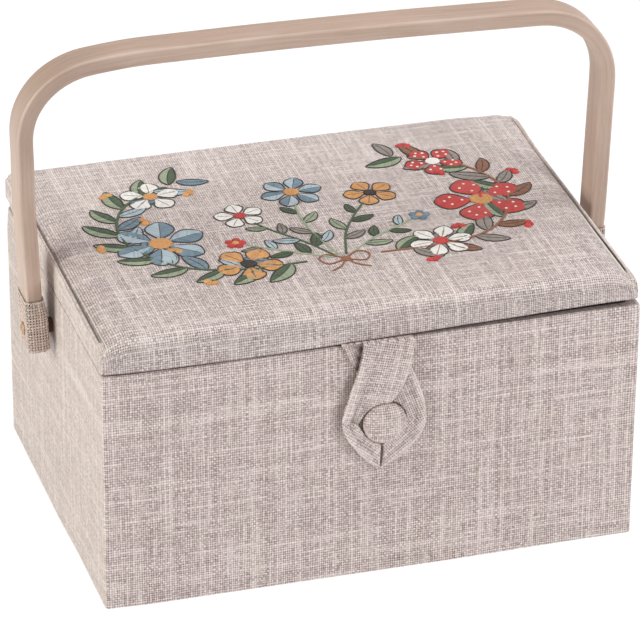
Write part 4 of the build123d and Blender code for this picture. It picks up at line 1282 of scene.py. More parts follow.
# ------------------------------------------------------------------ closure strap: a folded linen band, crossed under the lid and split below the button
def ribbon(b, outer, inner, rise, n=50, thick=2.3, uv0=0.0, turn=0.0, band=(1.0, 1.0), width=4.4, lip=0.35, tip=(0.0, 0.0), shade=(0.0, 0.0), under=None, fold=0.30):
    """A soft flat band between two edges in the XZ plane, with a raised folded band along its outer edge. rise is
    how far its back stands off the case front along it; band is the height of the raised band along it; lip is
    the roll of its inner edge."""
    A, C = even(spline(outer, 90), n), even(spline(inner, 90), n)
    t_ = np.linspace(0, 1, n)
    lift = np.interp(t_, np.linspace(0, 1, len(rise)), rise)
    high = np.interp(t_, np.linspace(0, 1, len(band)), band)
    front, back, tone = [], [], []
    dark = np.interp(t_, np.linspace(0, 1, len(shade)), shade)
    for i in range(n):
        w = max(np.linalg.norm(A[i] - C[i]), 1.0)
        wide = min(width, w * 0.42)
        d = np.concatenate([np.array([0, 0.12, 0.35, 0.7, 1.15]), np.linspace(1.6, wide - 0.5, 5), np.linspace(wide - 0.2, wide + 1.1, 6),
                            np.linspace(wide + 1.6, w - 1.6, 7), w - np.array([1.15, 0.7, 0.35, 0.12, 0])]) if w > 9 else np.linspace(0, w, 28)
        d = np.maximum.accumulate(np.clip(d, 0, w))
        s = d / w
        e = np.minimum(d, w - d)
        puff = np.sqrt(np.clip(1 - (1 - np.clip(e / 1.1, 0, 1)) ** 2, 0, 1))
        ro = high[i] * (1 - smooth01((d - wide + 1.6) / 2.8)) + lip * np.exp(-(((w - d - 1.6) / 1.1) ** 2))
        groove = 0.12 * np.exp(-(((d - wide + 1.1) / 0.5) ** 2)) * high[i]
        ends = 1 - tip[0] * smooth01((0.12 - t_[i]) / 0.12) - tip[1] * smooth01((t_[i] - 0.88) / 0.12)
        mid = A[i] + (C[i] - A[i]) * s[:, None]
        yf = -115.3 - lift[i] - thick * ends * (0.5 + 0.5 * puff) - (ro - groove) * puff * ends + 0.5 * high[i]
        yb = -115.3 - lift[i] - thick * ends * (0.5 - 0.5 * puff) + 0.25 * high[i] * (1 - puff)
        # painted highlight on the rolled outer edge, the raised band and the inner lip; painted shade in the fold
        # beside the band (fold sets how much), at the very edges, along the shade argument, from under() and where a
        # tip starts
        pale = 0.75 * np.exp(-(((d - 1.3) / 0.9) ** 2)) * min(1.0, high[i] + 0.25) + 0.25 * (1 - smooth01((d - wide + 0.4) / 1.0)) * min(1.0, high[i])
        pale += 0.45 * np.exp(-(((w - d - 1.3) / 0.8) ** 2)) * min(1.0, lip * 2)
        deep = fold * np.exp(-(((d - wide - 0.6) / 1.3) ** 2)) * min(1.0, high[i])
        deep += np.where(d < w / 2, 0.8, 0.15) * (1 - smooth01(e / 0.4)) + dark[i] + 0.2 * tip[0] * smooth01((0.10 - t_[i]) / 0.10)
        tn = pale - deep
        if under is not None:
            tn = tn - under(mid)
        tone.append(np.clip(tn, -1, 1))
        front.append(np.column_stack([mid[:, 0], yf, mid[:, 1]]))
        back.append(np.column_stack([mid[:, 0], np.maximum(yb, yf), mid[:, 1]]))
    F, K = np.array(front), np.array(back)
    ca, sa = math.cos(turn), math.sin(turn)

    def uv_of(P, off):
        return np.stack([P[..., 0] * ca - P[..., 2] * sa + off, P[..., 0] * sa + P[..., 2] * ca + off], -1)

    b.patch(F, uv_of(F, uv0), T=np.array(tone))
    b.patch(K, uv_of(K, uv0 + 50), flip=True)
    for row, flip in ((0, True), (n - 1, False)):
        P2 = np.stack([F[row], K[row]])
        b.patch(P2, uv_of(P2, uv0), flip=flip)


def strap():
    b = Build()
    # left arm's outline, which the right arm lies behind
    left_outer = [(-7.3, 152.3), (-8.8, 144), (-11.2, 135), (-13.9, 127), (-16.8, 119.0), (-19.3, 110.0), (-20.3, 103.0), (-19.4, 97.5)]
    left_inner = [(23.9, 152.3), (22.8, 144), (21.2, 135.0), (17.4, 125.4), (13.6, 118.4), (9.8, 113.4), (5.0, 113.2), (-0.6, 111.8), (-5.2, 108.2), (-8.4, 103.4), (-10.0, 98.4)]
    fo, fi = even(spline(left_outer, 90), 120), even(spline(left_inner, 90), 120)

    def behind(P):
        """Painted shade on the cloth that lies just beside or behind the left arm, darkest next to its edges."""
        d = np.minimum(
            np.linalg.norm(P[:, None, :] - fo[None, :, :], axis=2).min(1), np.linalg.norm(P[:, None, :] - fi[None, :, :], axis=2).min(1)
        )
        return 0.75 * np.exp(-((d / 1.5) ** 2)) + 0.30 * np.exp(-((d / 4.5) ** 2)) * (P[:, 0] < 6)

    # right arm, which starts at the left behind the other and runs down the button's right side
    ribbon(
        b,
        [(13.0, 152.3), (17.0, 144), (21.3, 135.4), (24.4, 128.6), (27.6, 120.2), (30.4, 109.5), (31.4, 99.5), (30.9, 93.0)],
        [(-19.8, 152.3), (-15.8, 144), (-11.0, 134.8), (-4.5, 125), (3.0, 116.4), (9.6, 112.6), (14.9, 109.3), (18.0, 104.4), (18.7, 99.4), (18.1, 94.0)],
        [0.0, 0.1, 0.1, 0.3, 0.5, 0.5],
        turn=math.radians(-20),
        uv0=140,
        band=(0.0, 0.1, 0.6, 1.0, 1.1, 1.0),
        width=5.0,
        lip=0.25,
        shade=(0.22, 0.16, 0.04, 0.0, 0.0, 0.0),
        under=behind,
        fold=0.16,
    )
    # left arm, in front, from the right of the gap down the button's left side
    ribbon(
        b,
        left_outer,
        left_inner,
        [2.4, 3.2, 4.0, 4.1, 3.5, 2.8, 2.0],
        turn=math.radians(15),
        uv0=0,
        thick=2.5,
        band=(0.0, 0.15, 0.6, 1.1, 1.4, 1.4, 1.2),
        width=6.4,
        lip=0.6,
        tip=(0.0, 0.3),
        shade=(0.12, 0.0, 0.0, 0.0, 0.0, 0.12, 0.5),
    )
    # lower left, from the mitre down to the point, lying over the left arm's end
    ribbon(
        b,
        [(-20.6, 105.0), (-19.8, 98.0), (-16.9, 91.8), (-12.8, 85.4), (-8.2, 79.1), (-2.9, 73.5), (3.0, 68.8)],
        [(-11.3, 101.6), (-8.2, 97.0), (-4.4, 91.6), (0.0, 88.0), (3.7, 85.8), (3.9, 78.5), (3.6, 72.0)],
        [3.3, 3.0, 2.0, 1.1, 0.5],
        turn=math.radians(40),
        uv0=260,
        band=(0.6, 1.0, 1.0, 0.8, 0.5),
        width=6.0,
        lip=0.5,
        tip=(0.45, 0.1),
    )
    # lower right
    ribbon(
        b,
        [(31.4, 100.5), (30.6, 94.0), (27.8, 88.0), (23.2, 82.2), (17.9, 76.9), (10.6, 72.1), (3.4, 68.6)],
        [(18.6, 101.0), (17.2, 96.4), (14.4, 91.6), (10.3, 88.2), (5.5, 86.2), (5.2, 79.5), (4.8, 72.0)],
        [1.2, 1.0, 0.8, 0.5, 0.4],
        turn=math.radians(-38),
        uv0=380,
        band=(0.8, 1.1, 1.1, 0.8, 0.5),
        width=5.4,
        fold=0.12,
        lip=0.3,
        tip=(0.5, 0.1),
    )
    # stitched point where the two lower arms meet
    rows, uvs = [], []
    for r, h in ((3.0, 0.5), (2.4, 1.5), (1.6, 2.2), (0.8, 2.6), (0.1, 2.7)):
        t = np.linspace(0, 2 * PI, 19)[:-1]
        x, z = 3.7 + 0.8 * r * np.cos(t), 69.7 + 0.75 * r * np.sin(t)
        rows.append(np.column_stack([x, np.full(18, -115.3 - h), z]))
        uvs.append(np.column_stack([np.append(x, x[0]), np.append(z, z[0])]))
    b.patch(np.array(rows), np.array(uvs), close=True)
    # root: both arms go back through the gap under the lid's hem
    for (xa, xb), z0, uv0 in (((-19.6, 12.8), 0.4, 140), ((-7.2, 23.7), 1.9, 0)):
        pathway = [(-114.0, 151.75, 0.5), (-114.9, 151.75, 0.6), (-115.6 - z0 * 0.6, 151.6, 0.9), (-116.0 - z0, 151.0, 1.4), (-116.3 - z0, 149.9, 1.6)]
        cols = 21
        xs_ = np.linspace(xa, xb, cols)
        pts = np.array([(p[0], p[1]) for p in pathway])
        T = np.gradient(pts, axis=0)
        T /= np.linalg.norm(T, axis=1)[:, None]
        Nn = np.stack([T[:, 1], -T[:, 0]], 1)
        top, low = [], []
        for i, p in enumerate(pathway):
            puff = (1 - np.abs(np.linspace(-1, 1, cols)) ** 6) ** 0.5
            top.append(np.stack([xs_, p[0] + Nn[i, 0] * p[2] / 2 * puff, p[1] + Nn[i, 1] * p[2] / 2 * puff], -1))
            low.append(np.stack([xs_, p[0] - Nn[i, 0] * p[2] / 2 * puff, p[1] - Nn[i, 1] * p[2] / 2 * puff], -1))
        top, low = np.array(top), np.array(low)
        Lr = profile_length([(p[0], p[1]) for p in pathway])
        UV = np.stack([np.repeat(xs_[None, :], len(pathway), 0) + uv0, np.repeat(-Lr[:, None], cols, 1) + 155 + uv0], -1)
        b.patch(top, UV)
        b.patch(low, UV, flip=True)
        for row, fl in ((0, True), (len(pathway) - 1, False)):
            P2 = np.stack([top[row], low[row]])
            b.patch(P2, np.stack([UV[row], UV[row] + [0, 1]]), flip=fl)
    ob = b.make("strap_linen", None, [LINEN_STRAP], "linen", weld=0.002)
    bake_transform(ob)
    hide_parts("closure_strap")
    return ob


strap()


# ------------------------------------------------------------------ hinge cloth across the back
def hinge():
    b = Build()
    xs_ = np.linspace(-150, 150, 61)
    zs = np.concatenate([np.linspace(137, 148, 8), np.linspace(149, 156, 12), np.linspace(157.5, 164, 7)])
    X, Z = np.meshgrid(xs_, zs)
    swell = 0.75 * np.exp(-(((Z - 152.2) / 2.3) ** 2))
    y = 115.45 + swell + 0.12 * fine_slack(np.stack([X, Z, X * 0], -1))
    end = np.minimum(1, np.minimum(Z - 136.9, 164.1 - Z) / 0.7)
    outer_ = np.stack([X, y + 0.42 * end, Z], -1)
    inner_ = np.stack([X, 115.42 + swell * 0.6 + 0 * X, Z], -1)
    UV = np.stack([X + 900, Z], -1)
    b.patch(outer_, UV, flip=True)
    b.patch(inner_, UV)
    ring = [(0, i) for i in range(len(xs_) - 1)] + [(j, len(xs_) - 1) for j in range(len(zs) - 1)]
    ring += [(len(zs) - 1, i) for i in range(len(xs_) - 1, 0, -1)] + [(j, 0) for j in range(len(zs) - 1, 0, -1)]
    A = np.array([outer_[j, i] for j, i in ring])
    C = np.array([inner_[j, i] for j, i in ring])
    t = np.arange(len(ring) + 1) * 3.0
    b.patch(np.array([A, C]), np.stack([np.stack([t, t * 0], -1), np.stack([t, t * 0 + 1], -1)]), close=True)
    ob = b.make("hinge_linen", None, [LINEN], "linen", weld=0.001)
    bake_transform(ob)
    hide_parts("hinge_cloth")


hinge()


# ------------------------------------------------------------------ lining, ledges, base
def block(b, ol, cx, cy, prof, uv0=0.0, mat=0, warp=None):
    """A closed block or pad: rings of the outline at each (inset, height), with a face at both ends."""
    prof_s = profile_length(prof)
    rows, uvs = [], []
    for j, (inset, z) in enumerate(prof):
        p = ol.at(inset) + [cx, cy]
        P = np.column_stack([p, np.full(len(p), z)])
        if warp is not None:
            P = warp(P, inset)
        rows.append(P)
        uvs.append(np.column_stack([ol.s + uv0, np.full(len(ol.s), prof_s[j] + uv0)]))
    n = ol.n
    base = b.patch(np.array(rows), np.array(uvs), close=True, mat=mat)
    for row, flip in ((0, True), (len(prof) - 1, False)):
        ids = [base + row * n + i for i in range(n)]
        pts = rows[row]
        uv = [(q[0] + uv0, q[1] + uv0) for q in pts]
        if flip:
            ids.reverse()
            uv.reverse()
        b.f.append(ids)
        b.uv.extend(uv)
        b.m.append(mat)


def sheet_pad(b, ol, cx, cy, top, bottom, insets, uv0=0.0, mat=0):
    """A closed pad whose two faces are given as heights of (x, y, inset), with its weave laid flat."""
    seq = [(i, bottom) for i in insets[::-1]] + [(i, top) for i in insets]
    rows, uvs = [], []
    for inset, f in seq:
        p = ol.at(inset) + [cx, cy]
        rows.append(np.column_stack([p, f(p[:, 0], p[:, 1], inset)]))
        q = np.vstack([p, p[:1]])
        uvs.append(q + uv0)
    n = ol.n
    base = b.patch(np.array(rows), np.array(uvs), close=True, mat=mat)
    for row, flip in ((0, True), (len(seq) - 1, False)):
        ids = [base + row * n + i for i in range(n)]
        uv = [tuple(u) for u in uvs[row][:-1]]
        if flip:
            ids.reverse()
            uv.reverse()
        b.f.append(ids)
        b.uv.extend(uv)
        b.m.append(mat)


crumple = waves(41, 12, 26, 90)


def case_lining():
    ol = Outline(151.9, 106.9, 5.0, step=5.0, corner=6)
    N = ol.normals()
    prof = [(-1.35, 144.0), (-1.35, 145.5), (-1.1, 146.0), (-0.6, 146.15), (-0.1, 145.8), (0.0, 145.0)]
    prof += [(0.0, z) for z in np.linspace(140, 16, 22)]
    prof += [(0.15, 12.0), (0.9, 9.6), (2.4, 8.4), (4.5, 8.1), (8.0, 8.1)]
    back = [(8.0, 7.9), (2.2, 7.85), (-0.6, 8.6), (-1.3, 10.5), (-1.35, 16.0), (-1.35, 80.0), (-1.35, 143.0)]
    loopp = prof + back + prof[:1]
    L = profile_length(loopp)
    rows, uvs = [], []
    for j, (inset, z) in enumerate(loopp):
        p = ol.at(inset)
        P = np.column_stack([p, np.full(len(p), z)])
        if 5 < j < len(prof) - 2:
            k = smooth01((145 - z) / 6.0) * smooth01((z - 8) / 8.0)
            # a run of stitches holds the lining 7 mm below its top edge
            seam = np.exp(-(((z - 138.0) / 1.3) ** 2)) * 0.35
            P[:, :2] += N * (k * (0.32 * crumple(P) - 0.55 * math.sin(PI * min(1, max(0, (z - 12) / 126.0))) + 0.2) + seam)[:, None]
        rows.append(P)
        uvs.append(np.column_stack([ol.s, np.full(len(ol.s), L[j])]))
    b = Build()
    b.patch(np.array(rows), np.array(uvs), close=True)
    ob = b.make("case_lining", "case", [LINING], "lining_cloth", weld=0.002)
    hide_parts("front_lining", "back_lining", "left_lining", "right_lining")
    b = Build()
    ol = Outline(151.2, 106.2, 5.0, step=6.0, corner=5)
    ins = [0.0, 0.12, 0.4, 0.9, 1.8, 3.2, 5.5, 9, 14, 21, 30, 42, 56, 72, 90, 105.6]
    top = lambda x, y, i: 7.3 + 0.75 * (1 - (1 - min(i / 1.6, 1)) ** 2) ** 0.5 + 0.55 * smooth01(i / 30.0) + 0.16 * crumple(np.stack([x, y, x * 0], -1)) * smooth01(i / 12.0)
    bottom = lambda x, y, i: np.full_like(x, 7.0 - 1.1 * (1 - (1 - min(i / 1.6, 1)) ** 2) ** 0.5)
    sheet_pad(b, ol, 0, 0, top, bottom, ins, uv0=300)
    ob = b.make("floor_panel", "case", [LINING], "lining_cloth", weld=0.001)
    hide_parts("floor_lining")
    for name, sx in (("left_ledge", -1), ("right_ledge", 1)):
        b = Build()
        ol = Outline(2.45, 105.9, 0.9, step=5.0, corner=4)
        prof = [(2.0, 8.7), (0.4, 8.7), (0.05, 9.0), (0.0, 9.5)] + [(0.0, z) for z in np.linspace(20, 96, 8)] + [(0.0, 100.6), (0.2, 101.4), (0.7, 101.85), (2.0, 101.95)]
        block(b, ol, sx * 149.3, 0, prof, uv0=100 + 50 * sx)
        ob = b.make(name + "_cover", "case", [LINING], "lining_cloth", weld=0.001)
        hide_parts(name)
    b = Build()
    ol = Outline(153.6, 108.6, 2.0, step=8.0, corner=4)
    prof = [(20.0, 0.5), (3.0, 0.5), (0.4, 0.48), (0.0, 0.36), (0.05, 0.1), (0.5, 0.0), (20.0, 0.0)]
    block(b, ol, 0, 0, prof, uv0=500)
    ob = b.make("base_panel", "case", [BASE_CLOTH], "linen", weld=0.001)
    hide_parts("bottom_cover")


case_lining()


def lid_inside():
    b = Build()
    ol = Outline(152.6, 107.6, 3.0, step=5.0, corner=5)
    ins = [0.0, 0.1, 0.35, 0.8, 1.6, 2.6, 3.6, 4.6, 6.5, 10, 16, 24, 34, 46, 60, 76, 92, 107.0]

    def low(x, y, i):
        seam = 0.4 * math.exp(-(((i - 3.6) / 0.8) ** 2))
        puff = 0.75 * smooth01((i - 3.6) / 22.0)
        edge_ = 0.55 * (1 - (1 - min(i / 1.4, 1)) ** 2) ** 0.5
        return 160.2 - edge_ + seam - puff + 0.12 * crumple(np.stack([x, y, x * 0 + 70], -1)) * smooth01((i - 5) / 10.0)

    high = lambda x, y, i: np.full_like(x, 160.35 + 0.5 * (1 - (1 - min(i / 1.4, 1)) ** 2) ** 0.5)
    sheet_pad(b, ol, 0, 0, high, low, ins, uv0=700)
    ob = b.make("lid_lining_cloth", "lid", [LINING], "lining_cloth", weld=0.001)
    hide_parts("lid_lining")

    # gathered pocket: sewn down on three sides, its mouth drawn in by elastic
    b = Build()
    px0, px1, py0, py1 = -139.0, 59.0, -70.5, 80.0
    nx, ny = 221, 60
    X, Y = np.meshgrid(np.linspace(px0, px1, nx), np.linspace(py0, py1, ny))
    rnd = np.random.RandomState(8)
    xg = np.linspace(0, 1, nx)
    freq = 46
    phase = np.cumsum(0.7 + 0.6 * rnd.rand(freq + 1))
    warp_ = np.interp(xg, np.linspace(0, 1, freq + 1), (phase - phase[0]) / (phase[-1] - phase[0]))
    fold = np.cos(2 * PI * warp_ * freq / 2)[None, :]
    side_ = smooth01(np.minimum(X - px0, px1 - X) / 5.0)
    foot = smooth01((py1 - Y) / 5.0)
    dist = Y - (-65.0)
    gather = np.where(dist > 0, np.exp(-dist / 34.0), 1.0) * side_
    body_ = smooth01(dist / 30.0) * smooth01((py1 - Y) / 40.0)
    z = 159.2 - 0.3 * side_ * foot - 1.9 * body_ * side_ - (0.5 * gather + 0.10 * body_) * fold * side_
    z -= np.where(dist < 0, -dist / 5.5 * (0.35 + 0.55 * fold), 0) * side_
    z += 0.25 * crumple(np.stack([X, Y, X * 0 + 30], -1)) * body_ * side_
    b.patch(np.stack([X, Y, z], -1), np.stack([X * 1.35, Y], -1), flip=True)
    pocket = b.make("pocket_cloth", "lid", [POCKET], "lining_cloth")
    pocket.data.polygons.foreach_set("use_smooth", [True] * len(pocket.data.polygons))
    solidify(pocket, 0.45, offset=1.0)
    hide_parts("lid_pocket")

    # ruched elastic over the pocket's mouth
    b = Build()
    nx, rows, uvs = 221, [], []
    xg = np.linspace(px0 + 0.4, px1 - 0.4, nx)
    t = np.interp(xg, np.linspace(px0, px1, 221), np.linspace(0, 1, 221))
    w = np.interp(t, np.linspace(0, 1, freq + 1), (phase - phase[0]) / (phase[-1] - phase[0]))
    fold1 = np.cos(2 * PI * w * freq / 2)
    sd = smooth01(np.minimum(xg - px0, px1 - xg) / 5.0)
    for k in range(13):
        a = 2 * PI * k / 12
        yy = -65.0 + 3.3 * math.copysign(abs(math.cos(a)) ** 0.5, math.cos(a))
        dz = 0.42 * math.copysign(abs(math.sin(a)) ** 0.8, math.sin(a))
        rows.append(np.stack([xg, np.full(nx, yy), 158.25 - 0.45 * fold1 * sd - dz], -1))
        uvs.append(np.stack([xg * 1.3, np.full(nx, k * 0.62)], -1))
    rings = np.array(rows[:-1]).transpose(1, 0, 2)
    UV = np.array(uvs).transpose(1, 0, 2)
    b.tube(rings, UV)
    elastic = b.make("pocket_elastic_band", "lid", [ELASTIC], "elastic")
    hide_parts("pocket_elastic")

    # pin cushion: crowned pad with a corded seam
    b = Build()
    ol = Outline(30.6, 47.6, 19.0, step=3.0, corner=14)
    ins = [0.0, 0.15, 0.5, 1.1, 2.0, 3.2, 5.0, 7.5, 10.5, 14.0, 18.0, 22.0, 26.0, 29.6]

    def dome(x, y, i):
        k = min(i / 25.0, 1)
        dimple = 0.9 * np.exp(-(((x - 108) / 5.0) ** 2 + (y / 5.0) ** 2))
        return 158.4 - 4.2 * (1 - (1 - k) ** 2.6) ** 0.62 + dimple + 0.10 * crumple(np.stack([x * 2, y * 2, x * 0], -1)) * smooth01(i / 5.0)

    seat = lambda x, y, i: np.full_like(x, 158.6 + 0.75 * smooth01(i / 1.5))
    sheet_pad(b, ol, 108.0, 0.0, seat, dome, ins, uv0=900)
    cushion = b.make("pin_cushion_pad", "lid", [CUSHION], "cushion_cloth", weld=0.001)
    b = Build()
    p = Outline(30.75, 47.75, 19.1, step=1.5, corner=40)
    q = p.at(0.0) + [108.0, 0.0]
    nrm = p.normals()
    n, k = len(q), 8
    rings, uvs = [], []
    for i in range(n + 1):
        c, o = q[i % n], nrm[i % n]
        r = 0.72 * (1 + 0.10 * math.cos(2 * PI * i / n * 190))
        a = np.arange(k) * 2 * PI / k
        rings.append(np.stack([c[0] + o[0] * r * np.cos(a), c[1] + o[1] * r * np.cos(a), 158.6 + r * np.sin(a)], -1))
        uvs.append(np.column_stack([np.full(k + 1, i * 1.5), np.linspace(0, 4.5, k + 1)]))
    b.tube(rings[:-1] + [rings[0]], np.array(uvs), caps=False)
    cord_ = b.make("pin_cushion_seam", "lid", [CUSHION], "cushion_cloth", weld=0.001)
    b = Build()
    rows, uvs = [], []
    t = np.linspace(0, 2 * PI, 25)[:-1]
    for r, h in ((3.1, 0.0), (3.3, -0.5), (3.0, -1.1), (2.2, -1.5), (1.1, -1.65), (0.1, -1.7)):
        rows.append(np.stack([108 + r * np.cos(t), r * np.sin(t), np.full(24, 155.4 + h)], -1))
        uvs.append(np.column_stack([np.append(r * np.cos(t), r), np.append(r * np.sin(t), 0.0)]))
    b.patch(np.array(rows), np.array(uvs), close=True)
    tuft = b.make("pin_cushion_tuft", "lid", [LINEN_SMALL], "cushion_cloth", weld=0.001)
    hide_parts("pin_cushion")


lid_inside()


# ------------------------------------------------------------------ embroidery on the lid: a generic garland of sprigs, blossoms and berries
THREADS = [
    thread("thread_blue", (0.16, 0.245, 0.31), 0.22),
    thread("thread_green", (0.055, 0.095, 0.045), 0.25),
    thread("thread_orange", (0.66, 0.32, 0.11), 0.15),
    thread("thread_red", (0.53, 0.045, 0.04), 0.18),
    thread("thread_rust", (0.25, 0.105, 0.055), 0.22),
    thread("thread_grey", (0.27, 0.235, 0.21), 0.2),
    thread("thread_white", (0.86, 0.83, 0.79), 0.08),
    thread("thread_dark", (0.035, 0.024, 0.02), 0.2),
    thread("thread_sage", (0.30, 0.36, 0.24), 0.2),
    thread("thread_sky", (0.42, 0.52, 0.58), 0.16),
]
BLUE, GREEN, ORANGE, RED, RUST, GREY, WHITE, DARK, SAGE, SKY = range(10)


class Needle(Build):
    """Stitches laid on the lid's cloth; plan coordinates in millimetres."""

    def on(self, xy, h):
        xy = np.asarray(xy, float)
        return np.concatenate([xy, (lid_top(xy[..., 0], xy[..., 1]) + h)[..., None]], -1)

    def line(self, pts, mat, width=0.95, height=0.55, lift=0.1, stitch=2.6, n=None, seed=0):
        """A row of back stitches along the points."""
        p = np.asarray(pts, float)
        dense = spline(p, max(12, len(p) * 10)) if len(p) > 2 else even(p, 24)
        L = profile_length(dense)[-1]
        n = n or max(6, int(L / 0.75))
        q = even(dense, n)
        T = np.gradient(q, axis=0)
        T /= np.maximum(np.linalg.norm(T, axis=1), 1e-9)[:, None]
        B = np.stack([-T[:, 1], T[:, 0]], 1)
        s_ = np.linspace(0, L, n)
        phase = (s_ / stitch) % 1.0
        swell = 0.72 + 0.28 * np.sqrt(np.clip(np.sin(PI * phase), 0, 1))
        end = np.minimum(1, np.minimum(s_, L - s_) / (width * 0.8) + 0.35)
        k = 8
        a = np.arange(k) * 2 * PI / k
        C = self.on(q, lift)
        rings = C[:, None, :] + np.concatenate([
            B[:, None, :] * (np.cos(a)[None, :, None] * (width / 2 * swell * end)[:, None, None]),
            (np.sin(a)[None, :, None] * (height / 2 * swell * end)[:, None, None])], -1)
        UV = np.stack([np.repeat(s_[:, None], k + 1, 1), np.repeat(np.linspace(0, 3, k + 1)[None, :], n, 0) + 10.0 * seed], -1)
        self.tube(rings, UV, mat=mat)

    def leaf(self, base, heading, length_, width, mat, bend=0.0, puff=0.55, outline=DARK, vein=True, blunt=0.9, seed=0, second=None):
        """A leaf or petal in satin stitch with an outline and a middle vein."""
        n, m = 19, 9
        t = np.linspace(0, 1, n)
        ang = heading + bend * (t - 0.3)
        step_ = length_ / (n - 1)
        cx = base[0] + np.concatenate([[0], np.cumsum(np.cos(ang[:-1]) * step_)])
        cy = base[1] + np.concatenate([[0], np.cumsum(np.sin(ang[:-1]) * step_)])
        w = width / 2 * np.sin(PI * np.clip(t, 0, 1) ** blunt) ** 0.72
        w = np.maximum(w, 0.05)
        nx, ny = -np.sin(ang), np.cos(ang)
        sv = np.linspace(-1, 1, m)
        P = np.stack([cx[:, None] + nx[:, None] * w[:, None] * sv, cy[:, None] + ny[:, None] * w[:, None] * sv], -1)
        h = 0.12 + puff * (1 - sv[None, :] ** 2) ** 0.5 * np.minimum(1, w / 1.6)[:, None]
        if vein:
            h = h - 0.28 * np.exp(-((sv[None, :] / 0.16) ** 2)) * np.minimum(1, w / 1.6)[:, None]
        Q = self.on(P, 0.0)
        Q[..., 2] += h
        # stitches slant away from the vein
        U = np.abs(sv)[None, :] * w[:, None] * 1.0
        V = (t[:, None] * length_ - np.abs(sv)[None, :] * w[:, None] * 0.6) * 2.6
        UV = np.stack([U * 3, V * 3.2 + 30 * seed], -1)
        if second is None:
            self.patch(Q, UV, mat=mat)
        else:
            cut_ = m // 2
            self.patch(Q[:, : cut_ + 1], UV[:, : cut_ + 1], mat=mat)
            self.patch(Q[:, cut_:], UV[:, cut_:], mat=second)
        # skirt, so the stitches meet the cloth
        ring_ = np.concatenate([Q[:, 0], Q[::-1, -1]])
        low_ = ring_.copy()
        low_[:, 2] = lid_top(ring_[:, 0], ring_[:, 1]) - 0.1
        tt = np.arange(len(ring_) + 1) * 1.0
        self.patch(np.array([ring_, low_]), np.stack([np.stack([tt, tt * 0], -1), np.stack([tt, tt * 0 + 1], -1)]), close=True, mat=mat)
        if outline is not None:
            path = np.concatenate([np.stack([cx + nx * w, cy + ny * w], -1), np.stack([cx - nx * w, cy - ny * w], -1)[::-1]])
            self.line(even(path, 40), outline, 0.85, 0.55, 0.32, seed=seed + 2)
        if vein and outline is not None:
            self.line(np.stack([cx, cy], -1)[1:-2:3], outline, 0.6, 0.4, 0.42, seed=seed + 5)
        return (cx[-1], cy[-1])

    def knot(self, x, y, r, mat, h=0.75, seed=0):
        """A French knot, or with a larger radius a padded dot."""
        k = 12
        t = np.arange(k) * 2 * PI / k
        rows, uvs = [], []
        for q, up in ((1.0, 0.0), (1.02, 0.3), (0.86, 0.68), (0.55, 0.93), (0.2, 1.0)):
            a = np.stack([x + r * q * np.cos(t), y + r * q * np.sin(t)], -1)
            Q = self.on(a, 0.05)
            Q[:, 2] += h * up * (1 + 0.07 * np.cos(3 * t + 9 * q))
            rows.append(Q)
            uvs.append(np.column_stack([np.linspace(0, 6, k + 1), np.full(k + 1, q * 3 + seed * 10)]))
        base = self.patch(np.array(rows), np.array(uvs), close=True, mat=mat)
        ids = [base + 4 * k + i for i in range(k)]
        self.f.append(ids)
        self.uv.extend([(i * 0.5, 0.0) for i in range(k)])
        self.m.append(mat)

    def blossom(self, x, y, r, petals, mat, centre, spin=0.0, dots=None, width=0.95, outline=DARK, second=None, seed=0):
        for i in range(petals):
            a = spin + 2 * PI * i / petals
            base = (x + 0.20 * r * math.cos(a), y + 0.20 * r * math.sin(a))
            w = width * 2 * PI * r * 0.62 / petals
            self.leaf(base, a, r * 0.82, w, mat, bend=0.12 * (1 if i % 2 else -1), puff=0.65, outline=outline, vein=dots is None, blunt=1.35, seed=seed + i, second=second)
            if dots is not None:
                for d, s_ in ((0.42, 0.0), (0.66, 0.42), (0.66, -0.42), (0.80, 0.0)):
                    c = (x + r * d * math.cos(a) - s_ * w * 0.55 * math.sin(a), y + r * d * math.sin(a) + s_ * w * 0.55 * math.cos(a))
                    self.knot_high(c[0], c[1], 0.95, dots)
        n = 0
        for ring_r, count in ((0.0, 1), (0.09, 6), (0.18, 11)):
            for i in range(count):
                a = 2 * PI * i / count + ring_r * 9
                self.knot_high(x + ring_r * r * math.cos(a), y + ring_r * r * math.sin(a), 0.085 * r if ring_r < 0.15 else 0.075 * r, centre, 1.0)
                n += 1

    def knot_high(self, x, y, r, mat, h=0.95):
        k = 8
        t = np.arange(k) * 2 * PI / k
        rows, uvs = [], []
        for q, up in ((1.0, 0.35), (1.0, 0.75), (0.7, 1.0), (0.1, 1.12)):
            Q = self.on(np.stack([x + r * q * np.cos(t), y + r * q * np.sin(t)], -1), 0.0)
            Q[:, 2] += h * up
            rows.append(Q)
            uvs.append(np.column_stack([np.linspace(0, 3, k + 1), np.full(k + 1, q * 3 + x)]))
        self.patch(np.array(rows), np.array(uvs), close=True, mat=mat)


